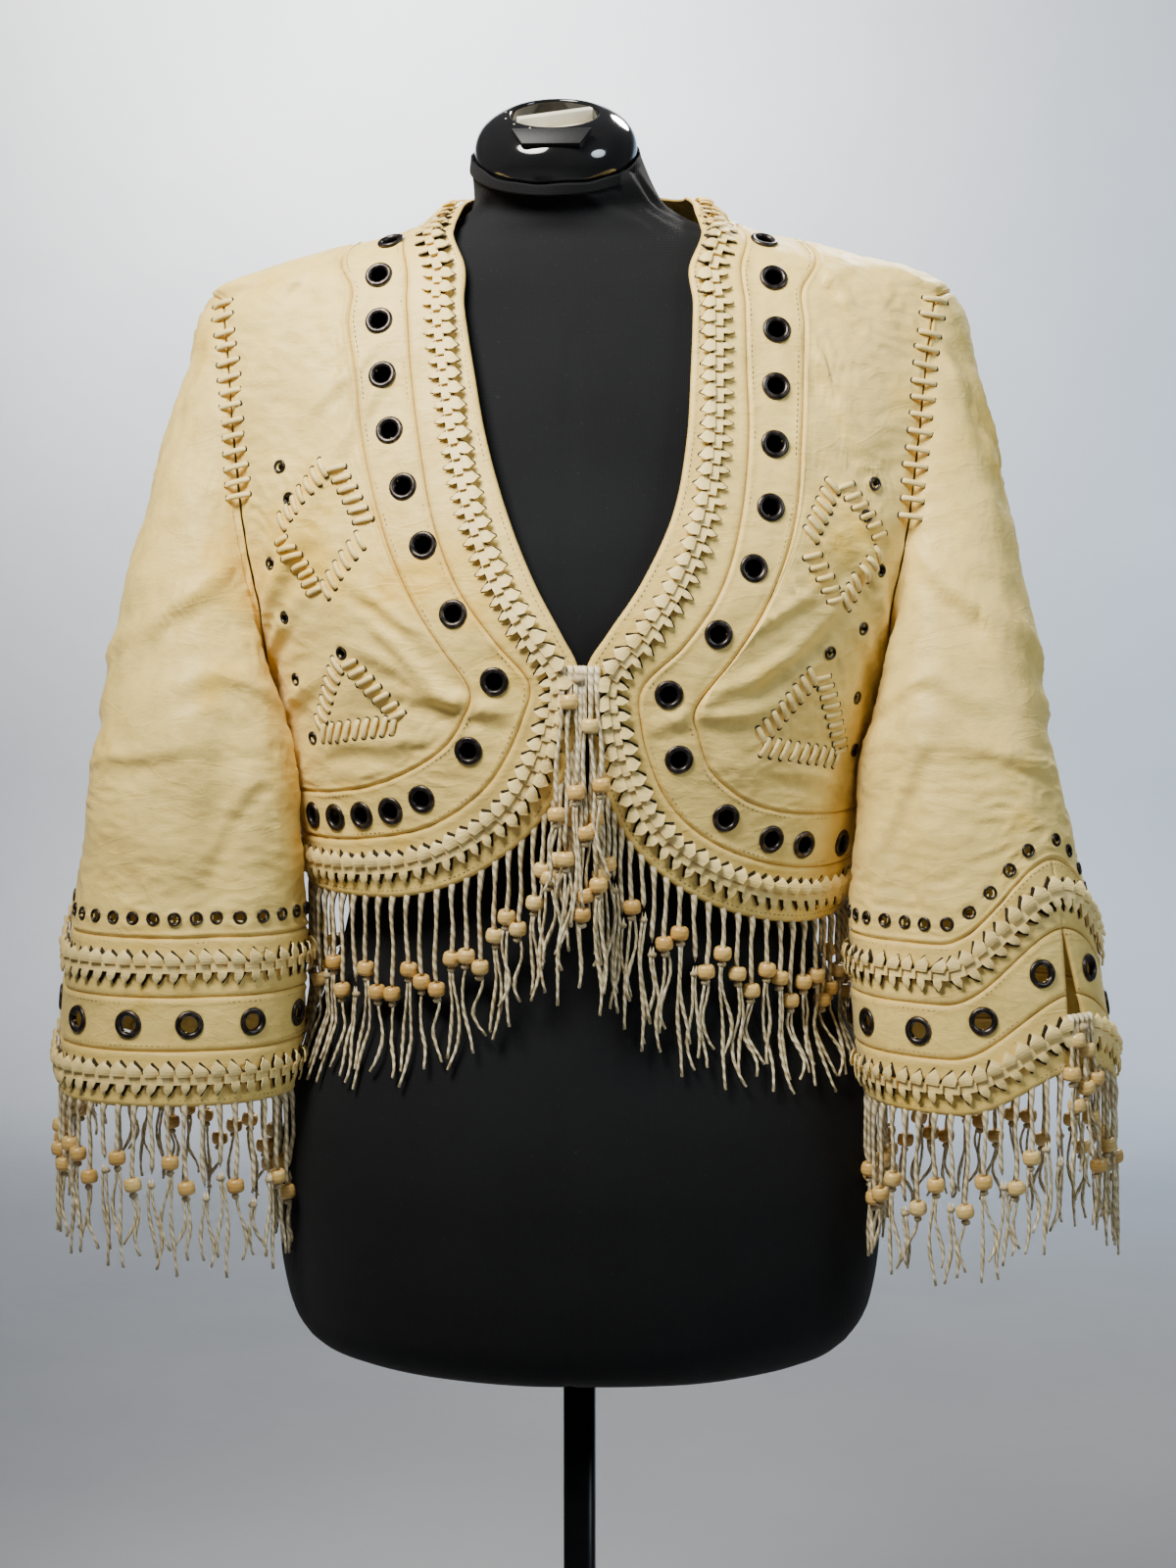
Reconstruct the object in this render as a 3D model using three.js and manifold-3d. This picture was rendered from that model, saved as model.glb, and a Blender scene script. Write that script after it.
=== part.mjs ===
// Cropped leather jacket with braided edges, eyelets and a beaded fringe, worn by a limbless dress form.
// Millimetres, +Z up. The origin is on the floor, under the middle of the stand's base.
// The front faces -Y and +X is on the right of someone who looks at the front.
import * as THREE from 'three';
import Module from 'manifold-3d';
import { mergeVertices } from 'three/addons/utils/BufferGeometryUtils.js';

const wasm = await Module();
wasm.setup();

// Driving sizes
const WALL = 1.6;            // thickness of the leather
const SEAM_INSET = 0.16;     // each piece stops this far short of a seam
const LIFT = 0.35;           // clearance under what lies on a piece
const AXIS_Y = 5;            // where the turn angles of the body start from
const EYELET_RADIUS = 4.8;
const EYELET_SIDES = 6;
const PUNCH_LENGTH = 14;
const BRAID_WIDTH = 21;
const BRAID_HEIGHT = 3.4;
const SLEEVE_MARGIN = 3.2;   // from the sleeve to the side of the body
const HEM_MARGIN = 8;        // from the sleeve to the hem, below which the fringe hangs
const HIP_MARGIN = 11;       // from the cuff to the form, with room for the fringe between them
const FRINGE_STEP = 13;
const CUFF_STEP = 14;
const FRINGE_DROP = 3;       // height of the strip that the strands hang from
const THONG = 3;             // width of one strand
const STRIP_GAP = 0.6;       // from the edge of the leather to the strip that the strands hang from
const STRIP_SINK = 0.8;      // how far inside the leather's face the strip's upper edge lies
const STRIP_DEPTH = 1.9;
const STRAND_TAPER = [0.95, 0.6];
const STRAND_GAP = 4.5;      // from the form to the middle of a strand that lies on it
const STEEP_STEP = 20;       // between strands where the edge is steep and they hang past each other
const STEEP_DROP = 0.9;
const STEEP_LEAN = 10;
const NEAR_FIT = 0.3;        // between parts that touch

// The jacket's body, a row for each height
const JACKET = table(['z', 'half', 'front', 'back', 'power'], [
  [820, 156, 115, 94, 2.35],
  [860, 160, 118, 94, 2.35],
  [900, 166, 123, 94, 2.35],
  [940, 171, 129, 95, 2.35],
  [980, 179, 134, 97, 2.35],
  [1010, 190, 136, 100, 2.3],
  [1050, 206, 130, 104, 2.25],
  [1094, 218, 119, 106, 2.2],
  [1150, 224, 102, 103, 2.2],
  [1190, 222, 87, 97, 2.2],
  [1207, 215, 79, 94, 2.2],
  [1214, 204, 76, 92, 2.2],
  [1222, 181, 73, 90, 2.15],
  [1229, 156, 70, 88, 2.1],
  [1235, 131, 67, 85, 2.1],
  [1240, 109, 65, 82, 2.05],
  [1250, 83, 60, 77, 2],
  [1262, 63, 54, 69, 2],
  [1275, 51, 46, 60, 2],
  [1300, 40, 36, 50, 2],
]);

// The dress form's padded torso up to its neck plate, which leans forward
const TORSO = table(['z', 'half', 'front', 'back', 'power', 'x', 'y', 'lean'], [
  [583, 118, 82, 78, 2.1, 0, 5, 0],
  [587, 146, 106, 100, 2.2, 0, 5, 0],
  [597, 164, 121, 114, 2.25, 0, 5, 0],
  [617, 174, 130, 122, 2.3, 0, 5, 0],
  [650, 179, 134, 127, 2.3, 0, 5, 0],
  [690, 180, 133, 128, 2.3, 0, 5, 0],
  [730, 175, 127, 122, 2.3, 0, 5, 0],
  [765, 165, 118, 113, 2.3, 0, 5, 0],
  [800, 151, 110, 104, 2.3, 0, 5, 0],
  [835, 139, 103, 95, 2.3, 0, 5, 0],
  [875, 133, 99, 88, 2.3, 0, 5, 0],
  [925, 137, 107, 85, 2.3, 0, 5, 0],
  [970, 146, 120, 86, 2.3, 0, 5, 0],
  [1010, 152, 126, 89, 2.3, 0, 5, 0],
  [1050, 156, 120, 93, 2.25, 0, 5, 0],
  [1094, 164, 108, 96, 2.2, 0, 5, 0],
  [1150, 174, 92, 94, 2.2, 0, 5, 0],
  [1185, 178, 80, 88, 2.2, 0, 5, 0],
  [1207, 175, 72, 80, 2.2, 0, 5, 0],
  [1218, 166, 66, 74, 2.1, 0, 5, 0],
  [1226, 152, 61, 64, 2.05, 0, 5, 0],
  [1232, 127, 58, 60, 2, 0, 5, 0],
  [1237, 98, 55, 58, 2, -1, 5, 0],
  [1247, 68, 54, 56, 2, -4, 4, 2],
  [1257, 55.5, 51.5, 54, 2, -6, 0, 8],
  [1267, 51.8, 50, 53, 2, -8.8, -8, 16],
  [1280, 49, 48, 48, 2, -12.3, -17, 27],
]);

// The three seams of each front from the shoulder seam round the neck and hem to the side seam:
// edge of the leather, seam between edge band and eyelet band, seam between eyelet band and panel
const FRONT_COLUMNS = ['edgeTurn', 'edgeZ', 'midTurn', 'midZ', 'panelTurn', 'panelZ'];
const FRONT_L = table(FRONT_COLUMNS, [
  [90, 1263, 90, 1246, 90, 1235],
  [63, 1251, 69.5, 1240, 74.5, 1231],
  [42, 1222, 55.7, 1221, 62, 1207],
  [35.5, 1193, 49.1, 1193, 58, 1181],
  [28.5, 1157, 43.4, 1157, 53.5, 1153],
  [22, 1117, 37.8, 1117, 49, 1117],
  [14.5, 1075, 32, 1075, 43, 1076],
  [7.5, 1040, 25, 1038, 36, 1038],
  [1, 1012, 15.8, 1007, 28, 1005],
  [-3, 991, 8.5, 985, 22, 981],
  [-2.5, 961, 10.5, 965, 24, 965],
  [0.5, 935, 14, 947, 28, 951],
  [7, 909, 19, 930, 33.5, 941],
  [17, 889, 26, 916, 39, 934],
  [28.5, 874, 34.5, 905, 45, 928],
  [42, 865, 44, 899, 52, 924],
  [57, 863, 57.5, 895, 62, 921],
  [73, 864, 73, 895, 75, 921],
  [90, 866, 90, 896, 90, 922],
]);
const FRONT_R = table(FRONT_COLUMNS, [
  [90, 1263, 90, 1246, 90, 1235],
  [63, 1250, 69.5, 1240.5, 75, 1231],
  [43.5, 1220, 55.3, 1220, 62.5, 1205],
  [39, 1193, 50.5, 1193, 59, 1180],
  [34.5, 1157, 46.5, 1157, 56, 1152],
  [30.5, 1117, 43.5, 1117, 53, 1117],
  [25.5, 1078, 39.6, 1076, 49.8, 1077],
  [17.5, 1041, 34.1, 1037, 44.3, 1037],
  [9.5, 1013, 26, 1006, 36.5, 1000],
  [4.5, 992, 17.3, 983, 29, 972],
  [5.5, 963, 17.5, 960, 30, 956],
  [8, 935, 20.5, 937, 33, 938],
  [13, 907, 25, 918, 37.5, 927],
  [20.5, 886, 31.5, 903, 42.5, 919],
  [30.5, 869, 39.5, 892, 48.5, 914],
  [43, 856, 49, 884, 56, 911],
  [58, 849, 60, 880, 65.5, 910],
  [74, 851, 75, 881, 77, 911],
  [90, 858, 90, 888, 90, 916],
]);
// Height of the back's seams at the middle of the back: neck and hem
const BACK_NECK = { edge: 1275, mid: 1250, panel: 1220 };
const BACK_HEM = { edge: 861, mid: 891, panel: 919 };
const BACK_NECK_STEPS = 8;
const PANEL_ROWS = 4;

// Armhole seam from the shoulder tip to the underarm; the sleeve's sections start at these points
const ARMHOLE = table(['frontTurn', 'backTurn', 'z'], [
  [90, 90, 1207],
  [81, 99, 1201],
  [77.5, 102.5, 1180],
  [74.5, 105, 1150],
  [72.5, 106.5, 1118],
  [71, 107.5, 1086],
  [70, 108, 1054],
  [70, 107.5, 1024],
  [75.5, 103, 998],
  [90, 90, 983],
]);
const ARM_STEPS = ARMHOLE.length - 1;

// Large eyelets of each front, one row each, from the shoulder to the side
const EYELETS_L = table(['turn', 'z'], [
  [65, 1232], [57.9, 1211], [53.1, 1184.5], [48.7, 1154], [44.3, 1123], [39.2, 1092], [33, 1060],
  [25.2, 1023], [16.4, 986.5], [23.1, 948.5], [34.9, 921], [42.6, 913.5], [50, 910], [57.6, 907.5],
  [65.6, 907], [76, 907],
]);
const EYELETS_R = table(['turn', 'z'], [
  [65, 1231], [58.1, 1208], [54.2, 1178.5], [50.8, 1147], [48.1, 1115], [45.2, 1080.5], [40.5, 1047.5],
  [32.8, 1012], [23, 979.5], [26, 944], [37.5, 911], [48.4, 898], [56.8, 893.5], [69.5, 891.5], [80, 894],
]);
const NECK_EYELETS = 6;
const HEM_EYELETS = 11;

// Sleeves below the armhole: outer and inner side, measured from the middle of the body
const SLEEVE_COLUMNS = ['z', 'outer', 'inner', 'y', 'depth'];
const SLEEVE_L = table(SLEEVE_COLUMNS, [
  [735, 300, 161, -48, 68],
  [800, 297, 155, -47, 66],
  [850, 290, 153, -46, 64],
  [900, 283, 153, -45, 63],
  [950, 276, 155, -42, 62],
]);
const SLEEVE_R = table(SLEEVE_COLUMNS, [
  [735, 313, 168, -48, 71],
  [800, 303, 159, -47, 69],
  [850, 294, 157, -46, 66],
  [900, 282, 159, -45, 63],
  [950, 270, 162, -42, 62],
]);
const SLEEVE_POWER = 2.25;
const SLEEVE_TOP = 950;              // where the sleeve's cap ends and its tube starts
// Shares of the way down the cap, and how far each of its rings keeps from the body
const CAP = table(['share', 'margin'], [
  [0, 0], [0.08, 4.5], [0.25, 7.5], [0.45, 7.5], [0.65, 6], [0.83, 4.5], [1, 3.2],
]);
const CAP_BULGE = 6;
const CAP_SAG = 14;
const SLEEVE_JOIN = 3;               // ring of the cap where the sleeve's upper length meets its lower
// Heights above the hem between which a sleeve comes in from the fringe's margin to the jacket's own
const MARGIN_CHANGE = [38, 60];
const TUBE_STEPS = 3;
const SLEEVE_START = 82;             // turn of the column that comes from the shoulder tip
const SLEEVE_COLUMN_TURN = 180 / ARM_STEPS;
// Heights of the cuff's seams away from the vent, and how much each rises at the vent
const CUFF = table(['z', 'rise'], [[842, 46], [809, 41], [779, 35], [748, 26]]);
const RISE_SPREAD = 62;
const VENT_GAP = 15;                 // width of the vent at the hem
const CUFF_RADIUS = 66;
const CUFF_EYELETS = 6;              // on each half of a cuff

// Soft folds of the sleeves: turn from the front, height of the middle, widths and depth
const SLEEVE_FOLDS = table(['side', 'turn', 'z', 'spread', 'length', 'depth'], [
  [-1, -22, 885, 13, 75, 8],
  [-1, 25, 930, 20, 90, 3],
  [1, -40, 890, 12, 70, 5],
  [1, 10, 960, 20, 80, 3],
  [-1, 150, 900, 18, 80, 5],
  [1, 165, 900, 18, 80, 5],
]);

// Fringe lengths, seat places and the stand
const HEM_STRAND = 98;
const CUFF_STRAND = 88;
const FRONT_TIE = [118, 172, 96, 150, 182, 108];
const VENT_TIE = [58, 82, 66, 90, 72];
const FRONT_TIE_LIFT = 9;            // how far out of its seat the tips of a tie hang
const VENT_TIE_LIFT = 3;
const TIE_STEP = 4.2;
const TIE_GAP = 0.35;                // from the braid to the ties that lie on it
const TIE_SPREAD = 3;                // how much further apart the tips of a tie hang, per strand
const CAP_TILT = 27;
const CAP_CENTRE = new THREE.Vector3(-12.3, -17, 1280);
const WELL_RADIUS = 25;
const WELL_FLOOR = 16;
const DIAL_RADIUS = 24.1;
const DIAL_HEIGHT = 4;
const DIAL_GAP = 0.8;
const BAR_TURN = 23;
// Bar of the dial: its foot above the well's floor, height and thickness
const BAR_FOOT = 1.5;
const BAR_HEIGHT = 10;
const BAR_THICKNESS = 5;
// The cap in section: radius and height, with the dial's well in its top
const CAP_PROFILE = [
  [0, 0], [45.6, 0], [46.6, 5], [46, 11], [43.5, 16.5], [39, 21.5], [32.5, 25.8], [26.5, 28],
  [WELL_RADIUS, 27.5], [WELL_RADIUS, WELL_FLOOR], [0, WELL_FLOOR],
];
const POLE_SIDE = 19;
const BASE_RADIUS = 190;
const BASE_HEIGHT = 24;
const BASE_HUB = 21;
const HUB_HEIGHT = 48;
const FORM_BOTTOM = 583;
const TORSO_SIDES = 22;

const COLOURS = {
  leather: [0xe1cda0, 0.55, 0],
  braid: [0xd2c096, 0.62, 0],
  thong: [0xc9bc98, 0.7, 0],
  jersey: [0x0d0e10, 0.9, 0],
  cap: [0x08080a, 0.15, 0],
  dial: [0xe6e0d0, 0.4, 0],
  pole: [0x111214, 0.35, 0.3],
  base: [0x151618, 0.5, 0.3],
};

function table(columns, rows) {
  return rows.map((row) => Object.fromEntries(columns.map((name, i) => [name, row[i]])));
}

const rad = THREE.MathUtils.degToRad;
const lerp = THREE.MathUtils.lerp;
const vec = (x, y, z) => new THREE.Vector3(x, y, z);
const range = (count) => Array.from({ length: count }, (_, i) => i);
const mix = (a, b, share) => a.clone().lerp(b, share);
// A repeatable number from -1 to 1 for the number given
const vary = (seed) => Math.sin(seed * 12.9898 + 4.1) * Math.cos(seed * 5.233 + 1.7);

// Value of every column at z, smooth between the rows and never past their values
function rowAt(rows, z) {
  const last = rows.length - 1;
  const lowest = z >= rows[last].z ? last - 1 : 0;
  const k = Math.min(Math.max(rows.findIndex((row) => row.z > z) - 1, lowest), last - 1);
  const span = rows[k + 1].z - rows[k].z;
  const s = Math.min(Math.max((z - rows[k].z) / span, 0), 1);
  const slope = (i, name) => {
    if (i <= 0 || i >= last) return 0;
    const before = (rows[i][name] - rows[i - 1][name]) / (rows[i].z - rows[i - 1].z);
    const after = (rows[i + 1][name] - rows[i][name]) / (rows[i + 1].z - rows[i].z);
    return before * after > 0 ? (2 * before * after) / (before + after) : 0;
  };
  const result = {};
  for (const name of Object.keys(rows[0])) {
    const rise = rows[k + 1][name] - rows[k][name];
    const first = k === 0 ? rise / span : slope(k, name);
    const second = k + 1 === last ? rise / span : slope(k + 1, name);
    result[name] = rows[k][name] + rise * (3 * s * s - 2 * s * s * s)
      + span * (first * (s - 2 * s * s + s * s * s) + second * (s * s * s - s * s));
  }
  return result;
}

// Distance from the axis to a rounded section at a turn, 0 at the front, positive towards +X
function reach(row, turn) {
  const sine = Math.abs(Math.sin(rad(turn)));
  const cosine = Math.cos(rad(turn));
  const depth = cosine > 0 ? row.front : row.back;
  const { half, power } = row;
  return ((sine / half) ** power + (Math.abs(cosine) / depth) ** power) ** (-1 / power);
}

function bodyPoint(turn, z) {
  const r = reach(rowAt(JACKET, z), turn);
  return vec(r * Math.sin(rad(turn)), AXIS_Y - r * Math.cos(rad(turn)), z);
}

function normalOf(surface, u, v, stepU, stepV) {
  const along = surface(u + stepU, v).sub(surface(u - stepU, v));
  const up = surface(u, v + stepV).sub(surface(u, v - stepV));
  return along.cross(up).normalize();
}

const bodyNormal = (turn, z) => normalOf(bodyPoint, turn, z, 0.5, 0.5);

// Smooth value between the rows of a seam table, at a place counted in rows
function along(rows, name, place) {
  const last = rows.length - 1;
  const k = Math.min(Math.floor(place), last - 1);
  const s = place - k;
  const at = (i) => rows[Math.min(Math.max(i, 0), last)][name];
  const slopeA = (at(k + 1) - at(k - 1)) / 2;
  const slopeB = (at(k + 2) - at(k)) / 2;
  return at(k) * (1 + 2 * s) * (1 - s) ** 2 + slopeA * s * (1 - s) ** 2
    + at(k + 1) * s * s * (3 - 2 * s) + slopeB * s * s * (s - 1);
}

// Geometry from points and index triples, turned so that its faces point out
function closedGeometry(points, faces) {
  let volume = 0;
  for (const [a, b, c] of faces) volume += points[a].dot(points[b].clone().cross(points[c]));
  const geometry = new THREE.BufferGeometry();
  const places = points.flatMap((p) => p.toArray());
  geometry.setAttribute('position', new THREE.Float32BufferAttribute(places, 3));
  geometry.setIndex(faces.flatMap(([a, b, c]) => (volume > 0 ? [a, b, c] : [a, c, b])));
  return geometry;
}

// Wall between two grids of points, outer[column][row] and inner[column][row]
function wallGeometry(outer, inner, isRing = false) {
  const columns = outer.length;
  const rows = outer[0].length;
  const points = [...outer.flat(), ...inner.flat()];
  const faces = [];
  const index = (side, i, j) => side * columns * rows + (i % columns) * rows + j;
  const quad = (a, b, c, d) => faces.push([a, b, c], [a, c, d]);
  const spans = isRing ? columns : columns - 1;
  for (const i of range(spans)) {
    for (const j of range(rows - 1)) {
      const corners = [[i, j], [i + 1, j], [i + 1, j + 1], [i, j + 1]];
      const [a, b, c, d] = corners.map(([m, n]) => points[index(0, m, n)]);
      const out = a.clone().sub(points[index(1, i, j)]);
      const rise = a.clone().add(c).sub(b).sub(d).dot(out);
      // Each patch folds along the diagonal that lies deeper, so that nothing on it is cut
      const order = rise < 0 ? [0, 1, 2, 3] : [1, 2, 3, 0];
      const turned = order.map((n) => corners[n]);
      quad(...turned.map(([m, n]) => index(0, m, n)));
      quad(...[0, 3, 2, 1].map((k) => index(1, ...turned[k])));
    }
    const top = rows - 1;
    quad(index(0, i, 0), index(1, i, 0), index(1, i + 1, 0), index(0, i + 1, 0));
    quad(index(0, i, top), index(0, i + 1, top), index(1, i + 1, top), index(1, i, top));
  }
  if (!isRing) {
    for (const j of range(rows - 1)) {
      const end = columns - 1;
      quad(index(0, 0, j), index(0, 0, j + 1), index(1, 0, j + 1), index(1, 0, j));
      quad(index(0, end, j), index(1, end, j), index(1, end, j + 1), index(0, end, j + 1));
    }
  }
  return closedGeometry(points, faces);
}

// Moves the rim of a grid inwards, so that neighbouring pieces stay apart
function insetRim(grid, distance, isRing = false) {
  const pull = (from, to) => from.clone().addScaledVector(to.clone().sub(from).normalize(), distance);
  const result = grid.map((column) => column.map((p) => p.clone()));
  const lastRow = grid[0].length - 1;
  grid.forEach((column, i) => {
    result[i][0] = pull(column[0], column[1]);
    result[i][lastRow] = pull(column[lastRow], column[lastRow - 1]);
  });
  if (!isRing) {
    const end = grid.length - 1;
    for (const j of range(lastRow + 1)) {
      result[0][j].add(pull(grid[0][j], grid[1][j]).sub(grid[0][j]));
      result[end][j].add(pull(grid[end][j], grid[end - 1][j]).sub(grid[end][j]));
    }
  }
  return result;
}

// Points and outward normals of a piece of the body, from a grid of turns and heights
function bodyGrid(chart) {
  const points = chart.map((column) => column.map(([turn, z]) => bodyPoint(turn, z)));
  const normals = chart.map((column) => column.map(([turn, z]) => bodyNormal(turn, z)));
  return { points, normals };
}

// Puts every second rim point on the straight line between its neighbours
function straightenRim(grid, row) {
  for (let i = 1; i < grid.points.length - 1; i += 2) {
    grid.points[i][row] = mix(grid.points[i - 1][row], grid.points[i + 1][row], 0.5);
    grid.normals[i][row] = grid.normals[i - 1][row].clone().add(grid.normals[i + 1][row]).normalize();
  }
}

function thicken(grid, isRing = false) {
  const outer = insetRim(grid.points, SEAM_INSET, isRing);
  const inner = outer.map((column, i) => column
    .map((p, j) => p.clone().addScaledVector(grid.normals[i][j], -WALL)));
  return wallGeometry(outer, inner, isRing);
}

// Point and normal between the points of a grid, at fractions of its columns and rows
function onGrid(grid, column, row, isRing = false) {
  const count = grid.points.length;
  const i = isRing ? Math.floor(column) : Math.min(Math.floor(column), count - 2);
  const j = Math.min(Math.max(Math.floor(row), 0), grid.points[0].length - 2);
  const blend = (part) => {
    const a = mix(grid[part][i % count][j], grid[part][(i + 1) % count][j], column - i);
    const b = mix(grid[part][i % count][j + 1], grid[part][(i + 1) % count][j + 1], column - i);
    return a.lerp(b, row - j);
  };
  return { point: blend('points'), normal: blend('normals').normalize() };
}

const BRAID_SHARE = 0.42;    // largest part of a band's width on either side of its middle
const BRAID_SWING = 0.16;
const BRAID_LOW = 0.45;      // height between two crests, as a part of the full height
const BRAID_END = 0.05;

// Braided strip that lies on a band: its sides zigzag and its ridge rises and falls.
// Each column of the band is cut into the same number of steps, so the strip bends where the band does.
function braidGeometry(grid, perColumn, isRing = false) {
  const count = (isRing ? grid.points.length : grid.points.length - 1) * perColumn;
  const first = isRing ? 0 : BRAID_END;
  const last = isRing ? count : count / perColumn - BRAID_END;
  const top = range(isRing ? count : count + 1).map((i) => {
    const column = Math.min(Math.max(i / perColumn, first), last);
    const low = onGrid(grid, column, 0, isRing).point;
    const high = onGrid(grid, column, 1, isRing).point;
    const share = Math.min(BRAID_WIDTH / low.distanceTo(high) / 2, BRAID_SHARE);
    const swing = (i % 2 ? BRAID_SWING : -BRAID_SWING) * share;
    const at = (across, height) => {
      const spot = onGrid(grid, column, across, isRing);
      return spot.point.addScaledVector(spot.normal, height);
    };
    const crest = i % 2 ? BRAID_HEIGHT : BRAID_HEIGHT * BRAID_LOW;
    return [at(0.5 - share + swing, LIFT), at(0.5 + swing, crest), at(0.5 + share + swing, LIFT)];
  });
  const points = top.flat();
  const faces = [];
  const index = (i, j) => (i % top.length) * 3 + j;
  for (const i of range(count)) {
    for (const [a, b] of [[0, 1], [1, 2], [2, 0]]) {
      faces.push([index(i, a), index(i + 1, a), index(i + 1, b)]);
      faces.push([index(i, a), index(i + 1, b), index(i, b)]);
    }
  }
  if (!isRing) {
    faces.push([index(0, 0), index(0, 1), index(0, 2)]);
    faces.push([index(count, 0), index(count, 2), index(count, 1)]);
  }
  return closedGeometry(points, faces);
}

function solidOf(geometry) {
  const plain = geometry.clone();
  plain.deleteAttribute('normal');
  plain.deleteAttribute('uv');
  const merged = mergeVertices(plain, 1e-4);
  const mesh = new wasm.Mesh({
    numProp: 3,
    vertProperties: new Float32Array(merged.attributes.position.array),
    triVerts: new Uint32Array(merged.index.array),
  });
  return new wasm.Manifold(mesh);
}

function geometryOf(solid) {
  const mesh = solid.getMesh();
  const geometry = new THREE.BufferGeometry();
  geometry.setAttribute('position', new THREE.Float32BufferAttribute(mesh.vertProperties, 3));
  geometry.setIndex(Array.from(mesh.triVerts));
  return geometry;
}

// Cuts an eyelet hole straight through a wall at each spot
function cutEyelets(geometry, spots) {
  let solid = solidOf(geometry);
  for (const { point, normal } of spots) {
    const punch = new THREE.CylinderGeometry(EYELET_RADIUS, EYELET_RADIUS, PUNCH_LENGTH, EYELET_SIDES);
    punch.applyQuaternion(new THREE.Quaternion().setFromUnitVectors(vec(0, 1, 0), normal));
    punch.translate(point.x, point.y, point.z);
    solid = solid.subtract(solidOf(punch));
  }
  return geometryOf(solid);
}

// Fronts
const FRONT_STEPS = 2 * (FRONT_L.length - 1);

function frontSeam(rows, seam, place, side) {
  return [side * along(rows, `${seam}Turn`, place), along(rows, `${seam}Z`, place)];
}

function frontBand(rows, side, lower, upper, steps) {
  const perRow = steps / (rows.length - 1);
  const chart = range(steps + 1).map((i) => {
    const a = frontSeam(rows, lower, i / perRow, side);
    const b = frontSeam(rows, upper, i / perRow, side);
    return [a, b];
  });
  return bodyGrid(chart);
}

function armholeSeam(place, side, isBack) {
  const k = Math.min(Math.floor(place), ARM_STEPS - 1);
  const name = isBack ? 'backTurn' : 'frontTurn';
  return [
    side * lerp(ARMHOLE[k][name], ARMHOLE[k + 1][name], place - k),
    lerp(ARMHOLE[k].z, ARMHOLE[k + 1].z, place - k),
  ];
}

function frontPanel(rows, side) {
  const chart = range(rows.length).map((i) => {
    const a = frontSeam(rows, 'panel', i, side);
    const b = armholeSeam(i / 2, side, false);
    return range(PANEL_ROWS + 1).map((j) => j / PANEL_ROWS)
      .map((share) => [lerp(a[0], b[0], share), lerp(a[1], b[1], share)]);
  });
  const grid = bodyGrid(chart);
  straightenRim(grid, PANEL_ROWS);
  return grid;
}

// Back: its seams run from the left side seam, turn 270, to the right one, turn 90
function backSeam(name, share) {
  const turn = lerp(270, 90, share);
  const fromMiddle = Math.abs(turn - 180) / 90;
  const middle = BACK_HEM[name];
  const side = (turn > 180 ? FRONT_L : FRONT_R)[FRONT_L.length - 1][`${name}Z`];
  return [turn, lerp(middle, side, fromMiddle ** 2)];
}

function neckSeam(name, share) {
  const turn = lerp(270, 90, share);
  const side = FRONT_L[0][`${name}Z`];
  return [turn, lerp(BACK_NECK[name], side, (1 - Math.cos(rad(turn - 180) * 2)) / 2)];
}

function bandBetween(seam, lower, upper, steps) {
  return bodyGrid(range(steps + 1).map((i) => {
    const a = seam(lower, i / steps);
    const b = seam(upper, i / steps);
    return [a, b];
  }));
}

function backPanel() {
  const columns = 2 * PANEL_ROWS + BACK_NECK_STEPS;
  const rows = PANEL_ROWS + ARM_STEPS;
  const underarm = ARMHOLE[ARM_STEPS].z;
  const side = (sign, v) => {
    const seamZ = (sign < 0 ? FRONT_L : FRONT_R)[FRONT_L.length - 1].panelZ;
    const k = v * rows;
    if (k <= PANEL_ROWS) return [90, lerp(seamZ, underarm, k / PANEL_ROWS)];
    return armholeSeam(rows - k, 1, true);
  };
  const left = (v) => {
    const [turn, z] = side(-1, v);
    return [360 - turn, z];
  };
  const right = (v) => side(1, v);
  const top = (u) => {
    const k = u * columns;
    const tip = ARMHOLE[0].z;
    const neck = FRONT_L[0].panelZ;
    if (k <= PANEL_ROWS) return [270, lerp(tip, neck, k / PANEL_ROWS)];
    if (k >= columns - PANEL_ROWS) return [90, lerp(neck, tip, (k - columns + PANEL_ROWS) / PANEL_ROWS)];
    return neckSeam('panel', (k - PANEL_ROWS) / BACK_NECK_STEPS);
  };
  const bottom = (u) => backSeam('panel', u);
  // Patch between four curves: the mean of both ways across it, less what its corners count twice
  const blend = (u, v, n) => (1 - v) * bottom(u)[n] + v * top(u)[n]
    + (1 - u) * left(v)[n] + u * right(v)[n]
    - (1 - u) * (1 - v) * bottom(0)[n] - u * (1 - v) * bottom(1)[n]
    - (1 - u) * v * top(0)[n] - u * v * top(1)[n];
  return bodyGrid(range(columns + 1).map((i) => range(rows + 1)
    .map((j) => [blend(i / columns, j / rows, 0), blend(i / columns, j / rows, 1)])));
}

// Sleeves

// Pushes a point out of the body's side and of the fringe below it, or lower down out of the form's hip
function clearOfBody(point, marginSide, marginFringe, marginHip) {
  const turn = THREE.MathUtils.radToDeg(Math.atan2(point.x, AXIS_Y - point.y));
  const hem = JACKET[1].z;
  const [from, to] = MARGIN_CHANGE;
  const share = THREE.MathUtils.smoothstep(point.z, hem + from, hem + to);
  const margin = lerp(marginFringe, marginSide, share);
  const jacket = reach(rowAt(JACKET, Math.max(point.z, hem)), turn) + margin;
  const limit = Math.max(reach(rowAt(TORSO, point.z), turn) + marginHip, jacket);
  const distance = Math.hypot(point.x, point.y - AXIS_Y);
  if (distance >= limit) return point;
  const scale = limit / distance;
  return vec(point.x * scale, AXIS_Y + (point.y - AXIS_Y) * scale, point.z);
}

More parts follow.
